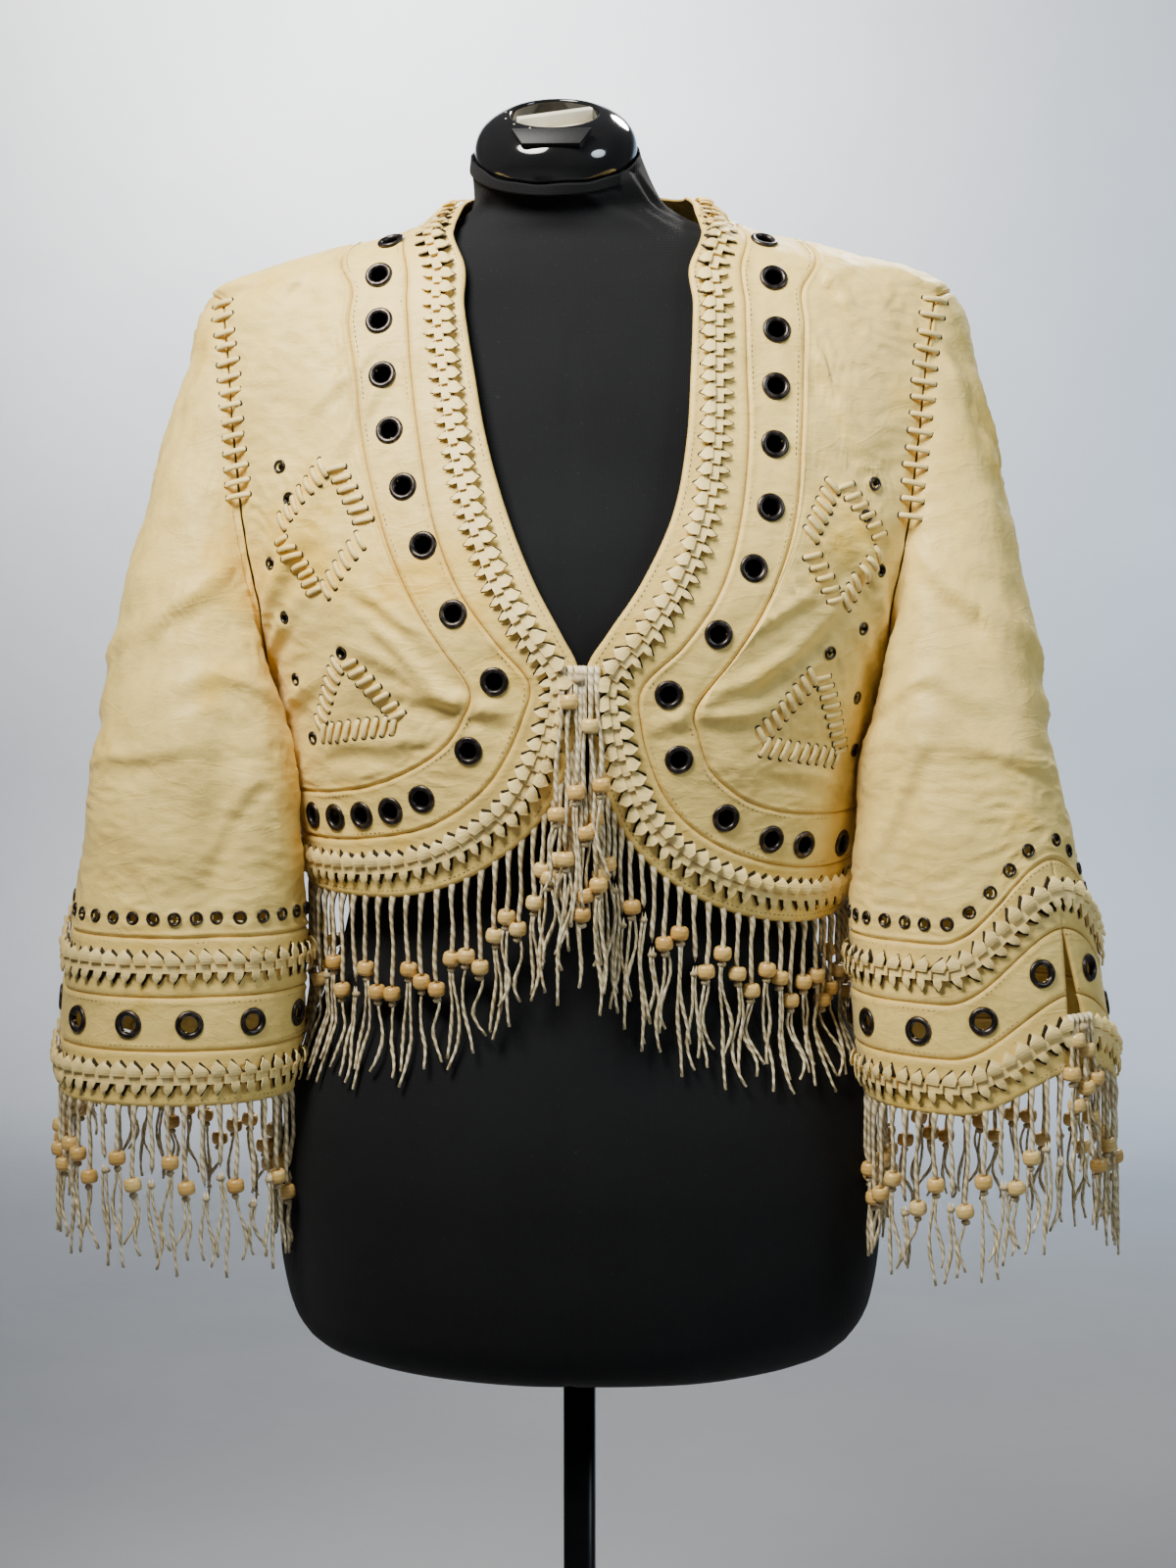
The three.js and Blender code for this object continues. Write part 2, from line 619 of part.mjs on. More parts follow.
// Point of the sleeve's tube; the turn is 0 at the front and 90 on the outer side
function tubePoint(side, turn, z) {
  const row = rowAt(side < 0 ? SLEEVE_L : SLEEVE_R, z);
  const half = (row.outer - row.inner) / 2;
  const sine = Math.sin(rad(turn));
  const cosine = Math.cos(rad(turn));
  const sum = Math.abs(sine / half) ** SLEEVE_POWER + Math.abs(cosine / row.depth) ** SLEEVE_POWER;
  const r = sum ** (-1 / SLEEVE_POWER);
  let dent = 0;
  for (const fold of SLEEVE_FOLDS) {
    const offset = THREE.MathUtils.euclideanModulo(turn - fold.turn + 180, 360) - 180;
    const weight = Math.exp(-((offset / fold.spread) ** 2) - ((z - fold.z) / fold.length) ** 2);
    if (fold.side === side) dent += fold.depth * weight;
  }
  const out = (row.outer + row.inner) / 2 + (r - dent) * sine;
  const point = vec(side * out, row.y - (r - dent) * cosine, z);
  return clearOfBody(point, SLEEVE_MARGIN, HEM_MARGIN, HIP_MARGIN);
}

function tubeNormal(side, turn, z) {
  return normalOf((u, v) => tubePoint(side, u, v), turn, z, 2, 2).multiplyScalar(side);
}

const ventTurn = (side) => SLEEVE_START + (side < 0 ? 2 : -2) * SLEEVE_COLUMN_TURN;

// Height of a cuff seam at a turn: it rises towards the vent
function cuffHeight(side, seam, turn) {
  const offset = Math.abs(THREE.MathUtils.euclideanModulo(turn - ventTurn(side) + 180, 360) - 180);
  const share = Math.max(0, 1 - offset / RISE_SPREAD);
  return CUFF[seam].z + CUFF[seam].rise * share * share * (3 - 2 * share);
}

function sleeveGrid(side) {
  const points = [];
  const armNormals = [];
  for (const k of range(2 * ARM_STEPS)) {
    const isBack = k > ARM_STEPS;
    const place = isBack ? 2 * ARM_STEPS - k : k;
    const [armTurn, armZ] = armholeSeam(place, side, isBack);
    const turn = SLEEVE_START - k * SLEEVE_COLUMN_TURN;
    const arm = bodyPoint(armTurn, armZ);
    const base = tubePoint(side, turn, SLEEVE_TOP);
    const below = tubePoint(side, turn, SLEEVE_TOP - 10).sub(base).setLength(1);
    const column = CAP.map(({ share: s, margin }) => {
      const outerShare = Math.max(0, Math.sin(rad(turn)));
      const reachOut = Math.sin(Math.PI * s) * CAP_BULGE * (0.4 + 0.6 * outerShare);
      const p = mix(arm, base, s).add(vec(side * reachOut, 0, 0));
      p.addScaledVector(below, -CAP_SAG * s * s * (1 - s));
      return s === 0 ? p : clearOfBody(p, margin, HEM_MARGIN, HIP_MARGIN);
    });
    const seam = cuffHeight(side, 0, turn);
    for (const j of range(TUBE_STEPS)) {
      column.push(tubePoint(side, turn, lerp(SLEEVE_TOP, seam, (j + 1) / TUBE_STEPS)));
    }
    points.push(column);
    armNormals.push(bodyNormal(armTurn, armZ));
  }
  const normals = gridNormals(points, side);
  // Ring 0 starts beside the panels, and shares their edge where the shoulder folds over
  points.forEach((column, i) => {
    const own = normals[i][0];
    const away = column[1].clone().sub(column[0]).normalize();
    const isRidge = away.dot(armNormals[i]) < 0;
    const share = isRidge ? 1 : THREE.MathUtils.smoothstep(armNormals[i].dot(own), 0.3, 0.8);
    column[0].addScaledVector(away, SEAM_INSET).addScaledVector(armNormals[i], NEAR_FIT * (1 - share));
    normals[i][0] = mix(own, armNormals[i], share).normalize();
  });
  return { points, normals };
}

// Part of a grid, from one of its rings to another or to the last
function ringsOf(grid, first, last = grid.points[0].length - 1) {
  const cut = (columns) => columns.map((column) => column.slice(first, last + 1));
  return { points: cut(grid.points), normals: cut(grid.normals) };
}

// Outward normals of a ring-shaped grid, from its own points
function gridNormals(points, side) {
  const count = points.length;
  const last = points[0].length - 1;
  return points.map((column, i) => column.map((p, j) => {
    const across = points[(i + 1) % count][j].clone().sub(points[(i + count - 1) % count][j]);
    const down = column[Math.min(j + 1, last)].clone().sub(column[Math.max(j - 1, 0)]);
    return across.cross(down).multiplyScalar(side).normalize();
  }));
}

// Band of a cuff between two seams; where it is open, its ends part towards the hem at the vent
function cuffGrid(side, upper, lower, firstColumn, columns, isOpen) {
  const points = [];
  const normals = [];
  const vent = ventTurn(side);
  for (const k of range(columns + 1)) {
    const turn = vent + (firstColumn + k) * SLEEVE_COLUMN_TURN;
    const lane = [upper, lower].map((seam) => {
      const opening = (VENT_GAP / 2) * Math.max(0, (seam - 1) / 2);
      const shift = THREE.MathUtils.radToDeg(opening / CUFF_RADIUS);
      const isStart = isOpen && firstColumn + k === 0;
      const isEnd = isOpen && firstColumn + k === 2 * ARM_STEPS;
      const at = turn + (isStart ? shift : 0) - (isEnd ? shift : 0);
      return [at, cuffHeight(side, seam, at)];
    });
    points.push(lane.map(([at, z]) => tubePoint(side, at, z)));
    normals.push(lane.map(([at, z]) => tubeNormal(side, at, z)));
  }
  return { points, normals };
}

function cuffEyeletSpots(side, firstColumn) {
  return range(CUFF_EYELETS).map((i) => {
    const turn = ventTurn(side) + firstColumn * SLEEVE_COLUMN_TURN + (180 / CUFF_EYELETS) * (i + 0.5);
    const z = (cuffHeight(side, 1, turn) + cuffHeight(side, 2, turn)) / 2;
    return { point: tubePoint(side, turn, z), normal: tubeNormal(side, turn, z) };
  });
}

// Fringe

// Where a strand is at a share of its length: it sways, and lies on the form where that stands out
function strandPoint(root, seed, share, length, lean) {
  const sway = vec(2.6 * vary(seed) * share, 1.6 * vary(seed + 31) * share, -share * length);
  const p = root.clone().add(sway).addScaledVector(lean, share);
  const turn = THREE.MathUtils.radToDeg(Math.atan2(p.x, AXIS_Y - p.y));
  const limit = reach(rowAt(TORSO, p.z), turn) + STRAND_GAP;
  const distance = Math.hypot(p.x, p.y - AXIS_Y);
  const scale = Math.max(1, limit / distance);
  return vec(p.x * scale, AXIS_Y + (p.y - AXIS_Y) * scale, p.z);
}

// Strands fused to one narrow strip.
// A root gives a point, the strip's direction, its drop and its outward side.
function fringeGeometry(roots) {
  const points = [];
  const faces = [];
  const rings = STRAND_TAPER.length;
  const perRoot = 4 + 3 * rings;
  roots.forEach(({ point, tangent, drop, out, length, seed, lean }) => {
    const foot = point.clone().addScaledVector(drop, FRINGE_DROP);
    const half = THONG / 2;
    points.push(point.clone().addScaledVector(drop, STRIP_GAP).addScaledVector(out, -STRIP_SINK));
    points.push(foot.clone().addScaledVector(tangent, -half));
    points.push(foot.clone().addScaledVector(tangent, half));
    points.push(foot.clone().addScaledVector(out, -STRIP_DEPTH));
    const level = vec(tangent.x, tangent.y, 0).normalize();
    const front = vec(out.x, out.y, 0).normalize();
    for (const j of range(rings)) {
      const share = (j + 1) / rings;
      const middle = strandPoint(foot, seed, share, length, lean ?? vec(0, 0, 0));
      const width = half * STRAND_TAPER[j];
      points.push(middle.clone().addScaledVector(level, -width));
      points.push(middle.clone().addScaledVector(level, width));
      points.push(middle.clone().addScaledVector(front, -1.5 * width));
    }
  });
  const at = (i, k) => i * perRoot + k;
  const end = roots.length - 1;
  roots.forEach((_, i) => {
    faces.push([at(i, 0), at(i, 1), at(i, 2)]);
    for (const j of range(rings)) {
      const a = 1 + 3 * j;
      for (const [p, q] of [[0, 1], [1, 2], [2, 0]]) {
        faces.push([at(i, a + p), at(i, a + 3 + p), at(i, a + 3 + q)]);
        faces.push([at(i, a + p), at(i, a + 3 + q), at(i, a + q)]);
      }
    }
    const tip = 1 + 3 * rings;
    faces.push([at(i, tip), at(i, tip + 2), at(i, tip + 1)]);
    if (i === end) return;
    const n = i + 1;
    faces.push([at(i, 0), at(i, 2), at(n, 1)], [at(i, 0), at(n, 1), at(n, 0)]);
    faces.push([at(i, 0), at(n, 0), at(n, 3)], [at(i, 0), at(n, 3), at(i, 3)]);
    faces.push([at(i, 2), at(i, 3), at(n, 3)], [at(i, 2), at(n, 3), at(n, 1)]);
  });
  faces.push([at(0, 0), at(0, 3), at(0, 1)], [at(end, 0), at(end, 2), at(end, 3)]);
  return closedGeometry(points, faces);
}

// Roots spaced evenly along row 0 of a band's grid, between two of its columns
function hemRoots(grid, row, from, to, step, length, seed, isRing = false) {
  const far = row === 0 ? 1 : row - 1;
  const fine = 400;
  const lengths = [0];
  for (const i of range(fine)) {
    const a = onGrid(grid, lerp(from, to, i / fine), row, isRing).point;
    const b = onGrid(grid, lerp(from, to, (i + 1) / fine), row, isRing).point;
    lengths.push(lengths[i] + a.distanceTo(b));
  }
  const count = Math.floor(lengths[fine] / step);
  return range(count).map((i) => {
    const goal = ((i + 0.5) / count) * lengths[fine];
    const column = lerp(from, to, lengths.findIndex((value) => value >= goal) / fine);
    const here = onGrid(grid, column, row, isRing);
    const inside = onGrid(grid, column, far, isRing);
    const before = onGrid(grid, Math.max(column - 0.1, 0), row, isRing).point;
    const tangent = onGrid(grid, column + 0.1, row, isRing).point.sub(before).normalize();
    const drop = here.point.clone().sub(inside.point).normalize();
    const away = 1 + 0.12 * vary(seed + i * 3.7);
    return { point: here.point, tangent, drop, out: here.normal, length: length * away, seed: seed + i };
  });
}

// Roots in a short row for a tie that lies in front of a point
function tieRoots(point, tangent, out, lengths, lift, seed) {
  return lengths.map((length, i) => {
    const place = i - (lengths.length - 1) / 2;
    return {
      point: point.clone().addScaledVector(tangent, place * TIE_STEP),
      tangent,
      drop: vec(0, 0, -1),
      out,
      length,
      seed: seed + i,
      lean: tangent.clone().multiplyScalar(place * TIE_SPREAD).addScaledVector(out, lift),
    };
  });
}

// Dress form and stand
function torsoGeometry() {
  const points = [];
  for (const row of TORSO) {
    for (const i of range(TORSO_SIDES)) {
      const turn = (360 / TORSO_SIDES) * i;
      const r = reach(row, turn);
      const flat = vec(r * Math.sin(rad(turn)), -r * Math.cos(rad(turn)), 0);
      flat.applyAxisAngle(vec(1, 0, 0), rad(row.lean));
      points.push(flat.add(vec(row.x, row.y, row.z)));
    }
  }
  const low = points.length;
  points.push(vec(TORSO[0].x, TORSO[0].y, TORSO[0].z));
  const high = points.length;
  const neck = TORSO[TORSO.length - 1];
  points.push(vec(neck.x, neck.y, neck.z));
  const faces = [];
  for (const i of range(TORSO_SIDES)) {
    const next = (i + 1) % TORSO_SIDES;
    faces.push([low, next, i]);
    const rim = (TORSO.length - 1) * TORSO_SIDES;
    faces.push([high, rim + i, rim + next]);
    for (const k of range(TORSO.length - 1)) {
      const a = k * TORSO_SIDES;
      faces.push([a + i, a + next, a + TORSO_SIDES + next]);
      faces.push([a + i, a + TORSO_SIDES + next, a + TORSO_SIDES + i]);
    }
  }
  return closedGeometry(points, faces);
}

// Turned profile on its own axis, then placed on the leaning neck
function onNeck(geometry, gap) {
  geometry.rotateX(Math.PI / 2);
  geometry.translate(0, 0, gap);
  geometry.rotateX(rad(CAP_TILT));
  geometry.translate(CAP_CENTRE.x, CAP_CENTRE.y, CAP_CENTRE.z);
  return geometry;
}

function capGeometry() {
  const profile = CAP_PROFILE.map(([r, z]) => new THREE.Vector2(r, z));
  return onNeck(new THREE.LatheGeometry(profile, TORSO_SIDES), NEAR_FIT);
}

// Dial in the well of the cap, with the bar that is gripped to turn it
function dialGeometry() {
  const disc = new THREE.CylinderGeometry(DIAL_RADIUS, DIAL_RADIUS, DIAL_HEIGHT, TORSO_SIDES);
  disc.translate(0, WELL_FLOOR + DIAL_HEIGHT / 2, 0);
  const bar = new THREE.BoxGeometry(2 * WELL_RADIUS - 5, BAR_HEIGHT, BAR_THICKNESS);
  bar.translate(0, WELL_FLOOR + BAR_FOOT + BAR_HEIGHT / 2, 0);
  bar.rotateY(rad(BAR_TURN));
  return geometryOf(solidOf(disc).add(solidOf(bar)));
}

function stand() {
  const pole = new THREE.Shape();
  const half = POLE_SIDE / 2;
  const corner = 5;
  pole.moveTo(half, -half + corner);
  pole.lineTo(half, half - corner);
  pole.absarc(half - corner, half - corner, corner, 0, Math.PI / 2, false);
  pole.absarc(-half + corner, half - corner, corner, Math.PI / 2, Math.PI, false);
  pole.absarc(-half + corner, -half + corner, corner, Math.PI, Math.PI * 1.5, false);
  pole.absarc(half - corner, -half + corner, corner, Math.PI * 1.5, Math.PI * 2, false);
  const bar = new THREE.ExtrudeGeometry(pole, {
    depth: FORM_BOTTOM - HUB_HEIGHT - 2 * NEAR_FIT,
    bevelEnabled: false,
    curveSegments: 3,
  });
  bar.translate(0, 0, HUB_HEIGHT + NEAR_FIT);
  const profile = [
    [0, 0], [BASE_RADIUS, 0], [BASE_RADIUS, 6], [BASE_RADIUS - 8, 11], [BASE_HUB + 4, BASE_HEIGHT],
    [BASE_HUB, BASE_HEIGHT + 4], [BASE_HUB, HUB_HEIGHT], [0, HUB_HEIGHT],
  ].map(([r, z]) => new THREE.Vector2(r, z));
  const base = new THREE.LatheGeometry(profile, 28).rotateX(Math.PI / 2);
  return { bar, base };
}

// Assembly
const group = new THREE.Group();

function add(name, geometry, finish) {
  const [color, roughness, metalness] = COLOURS[finish];
  const material = new THREE.MeshStandardMaterial({ color, roughness, metalness });
  const mesh = new THREE.Mesh(geometry, material);
  mesh.name = name;
  group.add(mesh);
}

function bodySpots(rows, side) {
  return rows.map(({ turn, z }) => ({
    point: bodyPoint(side * turn, z),
    normal: bodyNormal(side * turn, z),
  }));
}

function midSpots(seam, count, lower, upper) {
  return range(count).map((i) => {
    const a = seam(lower, (i + 0.5) / count);
    const b = seam(upper, (i + 0.5) / count);
    const place = [(a[0] + b[0]) / 2, (a[1] + b[1]) / 2];
    return { point: bodyPoint(...place), normal: bodyNormal(...place) };
  });
}

const sides = [
  { tag: 'l', side: -1, rows: FRONT_L, eyelets: EYELETS_L, seed: 11 },
  { tag: 'r', side: 1, rows: FRONT_R, eyelets: EYELETS_R, seed: 57 },
];
const hemSteps = 2 * PANEL_ROWS + BACK_NECK_STEPS;

for (const { tag, side, rows, eyelets, seed } of sides) {
  const edge = frontBand(rows, side, 'edge', 'mid', FRONT_STEPS);
  const band = frontBand(rows, side, 'mid', 'panel', FRONT_STEPS / 2);
  straightenRim(edge, 1);
  add(`edge_band_${tag}`, thicken(edge), 'leather');
  add(`eyelet_band_${tag}`, cutEyelets(thicken(band), bodySpots(eyelets, side)), 'leather');
  add(`front_panel_${tag}`, thicken(frontPanel(rows, side)), 'leather');
  add(`braid_${tag}`, braidGeometry(edge, 3), 'braid');
  // Where the edge is steep the strands start wider apart and lean forwards
  const steep = hemRoots(edge, 0, 20, 24, STEEP_STEP, HEM_STRAND, seed)
    .map((root, i) => ({
      ...root,
      point: root.point.addScaledVector(root.drop, STEEP_DROP),
      lean: vec(0, 2 * i - STEEP_LEAN, 0),
    }));
  const rest = hemRoots(edge, 0, 24.2, FRONT_STEPS - 0.1, FRINGE_STEP, HEM_STRAND, seed + 5);
  add(`fringe_front_${tag}`, fringeGeometry([...steep, ...rest]), 'thong');

  const sleeve = sleeveGrid(side);
  add(`sleeve_upper_${tag}`, thicken(ringsOf(sleeve, 0, SLEEVE_JOIN), true), 'leather');
  add(`sleeve_lower_${tag}`, thicken(ringsOf(sleeve, SLEEVE_JOIN), true), 'leather');
  const ring = 2 * ARM_STEPS;
  const upper = cuffGrid(side, 0, 1, 0, ring - 1, false);
  const lower = cuffGrid(side, 2, 3, 0, ring, true);
  add(`cuff_upper_${tag}`, thicken(upper, true), 'leather');
  add(`cuff_lower_${tag}`, thicken(lower), 'leather');
  add(`cuff_braid_upper_${tag}`, braidGeometry(upper, 3, true), 'braid');
  add(`cuff_braid_lower_${tag}`, braidGeometry(lower, 3), 'braid');
  for (const [half, first] of [['one', 0], ['two', ARM_STEPS]]) {
    const middle = cuffGrid(side, 1, 2, first, ARM_STEPS, true);
    const spots = cuffEyeletSpots(side, first);
    add(`cuff_eyelet_${half}_${tag}`, cutEyelets(thicken(middle), spots), 'leather');
  }
  const vent = ventTurn(side);
  const ventZ = lerp(cuffHeight(side, 2, vent), cuffHeight(side, 3, vent), 0.42);
  const ventOut = tubeNormal(side, vent, ventZ).setZ(0).normalize();
  const ventAlong = vec(-ventOut.y, ventOut.x, 0);
  const ventSeat = tubePoint(side, vent, ventZ).addScaledVector(ventOut, BRAID_HEIGHT + TIE_GAP);
  const ventRoots = tieRoots(ventSeat, ventAlong, ventOut, VENT_TIE, VENT_TIE_LIFT, seed + 150);
  add(`vent_tie_${tag}`, fringeGeometry(ventRoots), 'thong');
  const cuffRoots = hemRoots(lower, 1, 0.2, ring - 0.2, CUFF_STEP, CUFF_STRAND, seed + 90);
  add(`fringe_cuff_${tag}`, fringeGeometry(cuffRoots), 'thong');
}

// The fronts meet where both edges come nearest to the middle, and the front tie hangs there
const CLOSURE_ROW = 9;
const closureTurn = (FRONT_R[CLOSURE_ROW].edgeTurn - FRONT_L[CLOSURE_ROW].edgeTurn) / 2;
const closure = bodyPoint(closureTurn, FRONT_L[CLOSURE_ROW].edgeZ);
closure.y -= BRAID_HEIGHT + TIE_GAP;
const tie = tieRoots(closure, vec(1, 0, 0), vec(0, -1, 0), FRONT_TIE, FRONT_TIE_LIFT, 301);
add('front_tie', fringeGeometry(tie), 'thong');
const neckEdge = bandBetween(neckSeam, 'edge', 'mid', BACK_NECK_STEPS);
const neckBand = bandBetween(neckSeam, 'mid', 'panel', BACK_NECK_STEPS);
const hemEdge = bandBetween(backSeam, 'edge', 'mid', hemSteps);
const hemBand = bandBetween(backSeam, 'mid', 'panel', hemSteps);
add('back_panel', thicken(backPanel()), 'leather');
add('edge_band_neck', thicken(neckEdge), 'leather');
const neckSpots = midSpots(neckSeam, NECK_EYELETS, 'mid', 'panel');
add('eyelet_band_neck', cutEyelets(thicken(neckBand), neckSpots), 'leather');
add('edge_band_hem', thicken(hemEdge), 'leather');
const hemSpots = midSpots(backSeam, HEM_EYELETS, 'mid', 'panel');
add('eyelet_band_hem', cutEyelets(thicken(hemBand), hemSpots), 'leather');
add('braid_neck', braidGeometry(neckEdge, 4), 'braid');
add('braid_hem', braidGeometry(hemEdge, 4), 'braid');
const backRoots = hemRoots(hemEdge, 0, 0.1, hemSteps - 0.1, FRINGE_STEP, HEM_STRAND, 205);
add('fringe_back', fringeGeometry(backRoots), 'thong');

add('form_torso', torsoGeometry(), 'jersey');
add('neck_cap', capGeometry(), 'cap');
add('neck_dial', onNeck(dialGeometry(), DIAL_GAP), 'dial');
const { bar, base } = stand();
add('pole', bar, 'pole');
add('stand_base', base, 'base');

export default group;
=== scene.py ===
"""Cropped leather jacket with braided edges, eyelets and a beaded fringe, on a padded dress form."""
import math
import bmesh
import bpy
import numpy as np
from mathutils import Matrix, Vector, noise
from mathutils.bvhtree import BVHTree


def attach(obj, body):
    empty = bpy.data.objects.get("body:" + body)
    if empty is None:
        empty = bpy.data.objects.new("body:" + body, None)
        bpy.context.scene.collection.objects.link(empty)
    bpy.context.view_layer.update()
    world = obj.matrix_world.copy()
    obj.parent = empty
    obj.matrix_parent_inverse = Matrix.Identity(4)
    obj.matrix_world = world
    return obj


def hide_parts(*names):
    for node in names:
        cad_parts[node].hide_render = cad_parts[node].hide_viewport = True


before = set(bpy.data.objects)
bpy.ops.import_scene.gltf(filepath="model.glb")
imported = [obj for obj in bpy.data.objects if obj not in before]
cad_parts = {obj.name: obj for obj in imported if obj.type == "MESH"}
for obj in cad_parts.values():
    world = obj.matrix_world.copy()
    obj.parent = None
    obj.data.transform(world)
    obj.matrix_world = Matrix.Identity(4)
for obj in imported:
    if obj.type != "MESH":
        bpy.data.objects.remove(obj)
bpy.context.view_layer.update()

# Lengths are in mm and turns in degrees round the body, 0 at the front, unless a line says otherwise
MM = 0.001
WALL = 1.5
AXIS_Y = 5.0
HEM_MARGIN = 8.0
HEM_LEVEL = 898.0
HEM_BLEND = 22.0
JACKET_LOW = 860.0
HIP_MARGIN = 11.0
SLEEVE_MARGIN = 3.2
SLEEVE_LOW = 735.0
SLEEVE_TOP = 950.0
SLEEVE_START = 82.0
SLEEVE_POWER = 2.25
CAP_SHARE = 0.42
CAP_BULGE = 6.0
VENT_OFFSET = 40.0
RISE_SPREAD = 62.0
VENT_GAP = 15.0
VENT_EASE = 14.0
CUFF_RADIUS = 66.0
ARM_STEPS = 9
FRONT_ROWS = 18
EYELET_HOLE = 4.7
SMALL_HOLE = 2.5
BRAID_PITCH = 8.8
STITCH_PITCH = 3.1
GROOVE_RUN = 5.5
GROOVE_REPEAT = 0.6283


def table(columns, rows):
    """Named columns of a short table."""
    return {name: np.array([row[i] for row in rows], float) for i, name in enumerate(columns)}


# The jacket's body: half width, depth to the front and to the back at each height, and how square it is
JACKET = table(("z", "half", "front", "back", "power"), (
    (820, 156, 115, 94, 2.35), (860, 160, 118, 94, 2.35), (900, 166, 123, 94, 2.35),
    (940, 171, 129, 95, 2.35), (980, 179, 134, 97, 2.35), (1010, 190, 136, 100, 2.3),
    (1050, 206, 130, 104, 2.25), (1094, 218, 119, 106, 2.2), (1150, 224, 102, 103, 2.2),
    (1190, 222, 87, 97, 2.2), (1207, 215, 79, 94, 2.2), (1214, 204, 76, 92, 2.2), (1222, 181, 73, 90, 2.15),
    (1229, 156, 70, 88, 2.1), (1235, 131, 67, 85, 2.1), (1240, 109, 65, 82, 2.05), (1250, 83, 60, 77, 2),
    (1262, 63, 54, 69, 2), (1275, 51, 46, 60, 2), (1300, 40, 36, 50, 2)))
# The padded torso up to its neck plate
TORSO = table(("z", "half", "front", "back", "power", "x", "y", "lean"), (
    (583, 118, 82, 78, 2.1, 0, 5, 0), (587, 146, 106, 100, 2.2, 0, 5, 0), (597, 164, 121, 114, 2.25, 0, 5, 0),
    (617, 174, 130, 122, 2.3, 0, 5, 0), (650, 179, 134, 127, 2.3, 0, 5, 0),
    (690, 180, 133, 128, 2.3, 0, 5, 0), (730, 175, 127, 122, 2.3, 0, 5, 0),
    (765, 165, 118, 113, 2.3, 0, 5, 0), (800, 151, 110, 104, 2.3, 0, 5, 0), (835, 139, 103, 95, 2.3, 0, 5, 0),
    (875, 133, 99, 88, 2.3, 0, 5, 0), (925, 137, 107, 85, 2.3, 0, 5, 0), (970, 146, 120, 86, 2.3, 0, 5, 0),
    (1010, 152, 126, 89, 2.3, 0, 5, 0), (1050, 156, 120, 93, 2.25, 0, 5, 0),
    (1094, 164, 108, 96, 2.2, 0, 5, 0), (1150, 174, 92, 94, 2.2, 0, 5, 0), (1185, 178, 80, 88, 2.2, 0, 5, 0),
    (1207, 175, 72, 80, 2.2, 0, 5, 0), (1218, 166, 66, 74, 2.1, 0, 5, 0), (1226, 152, 61, 64, 2.05, 0, 5, 0),
    (1232, 127, 58, 60, 2, 0, 5, 0), (1237, 98, 55, 58, 2, -1, 5, 0), (1247, 68, 54, 56, 2, -4, 4, 2),
    (1257, 55.5, 51.5, 54, 2, -6, 0, 8), (1267, 51.8, 50, 53, 2, -8.8, -8, 16),
    (1280, 49, 48, 48, 2, -12.3, -17, 27)))
# Seams of each front from the shoulder round the neck and hem to the side
FRONT_COLUMNS = ("edge_turn", "edge_z", "mid_turn", "mid_z", "panel_turn", "panel_z")
FRONT_L = table(FRONT_COLUMNS, (
    (90, 1263, 90, 1246, 90, 1235), (63, 1251, 69.5, 1240, 74.5, 1231), (42, 1222, 55.7, 1221, 62, 1207),
    (35.5, 1193, 49.1, 1193, 58, 1181), (28.5, 1157, 43.4, 1157, 53.5, 1153),
    (22, 1117, 37.8, 1117, 49, 1117), (14.5, 1075, 32, 1075, 43, 1076), (7.5, 1040, 25, 1038, 36, 1038),
    (1, 1012, 15.8, 1007, 28, 1005), (-3, 991, 8.5, 985, 22, 981), (-2.5, 961, 10.5, 965, 24, 965),
    (0.5, 935, 14, 947, 28, 951), (7, 909, 19, 930, 33.5, 941), (17, 889, 26, 916, 39, 934),
    (28.5, 874, 34.5, 905, 45, 928), (42, 865, 44, 899, 52, 924), (57, 863, 57.5, 895, 62, 921),
    (73, 864, 73, 895, 75, 921), (90, 866, 90, 896, 90, 922)))
FRONT_R = table(FRONT_COLUMNS, (
    (90, 1263, 90, 1246, 90, 1235), (63, 1250, 69.5, 1240.5, 75, 1231), (43.5, 1220, 55.3, 1220, 62.5, 1205),
    (39, 1193, 50.5, 1193, 59, 1180), (34.5, 1157, 46.5, 1157, 56, 1152), (30.5, 1117, 43.5, 1117, 53, 1117),
    (25.5, 1078, 39.6, 1076, 49.8, 1077), (17.5, 1041, 34.1, 1037, 44.3, 1037),
    (9.5, 1013, 26, 1006, 36.5, 1000), (4.5, 992, 17.3, 983, 29, 972), (5.5, 963, 17.5, 960, 30, 956),
    (8, 935, 20.5, 937, 33, 938), (13, 907, 25, 918, 37.5, 927), (20.5, 886, 31.5, 903, 42.5, 919),
    (30.5, 869, 39.5, 892, 48.5, 914), (43, 856, 49, 884, 56, 911), (58, 849, 60, 880, 65.5, 910),
    (74, 851, 75, 881, 77, 911), (90, 858, 90, 888, 90, 916)))
BACK_NECK = {"edge": 1275, "mid": 1250, "panel": 1220}
BACK_HEM = {"edge": 861, "mid": 891, "panel": 919}
ARMHOLE = table(("front_turn", "back_turn", "z"), (
    (90, 90, 1207), (81, 99, 1201), (77.5, 102.5, 1180), (74.5, 105, 1150), (72.5, 106.5, 1118),
    (71, 107.5, 1086), (70, 108, 1054), (70, 107.5, 1024), (75.5, 103, 998), (90, 90, 983)))
SLEEVE_COLUMNS = ("z", "outer", "inner", "y", "depth")
SLEEVE_L = table(SLEEVE_COLUMNS, (
    (735, 300, 161, -48, 68), (800, 297, 155, -47, 66), (850, 290, 153, -46, 64), (900, 283, 153, -45, 63),
    (950, 276, 155, -42, 62)))
SLEEVE_R = table(SLEEVE_COLUMNS, (
    (735, 313, 168, -48, 71), (800, 303, 159, -47, 69), (850, 294, 157, -46, 66), (900, 282, 159, -45, 63),
    (950, 270, 162, -42, 62)))
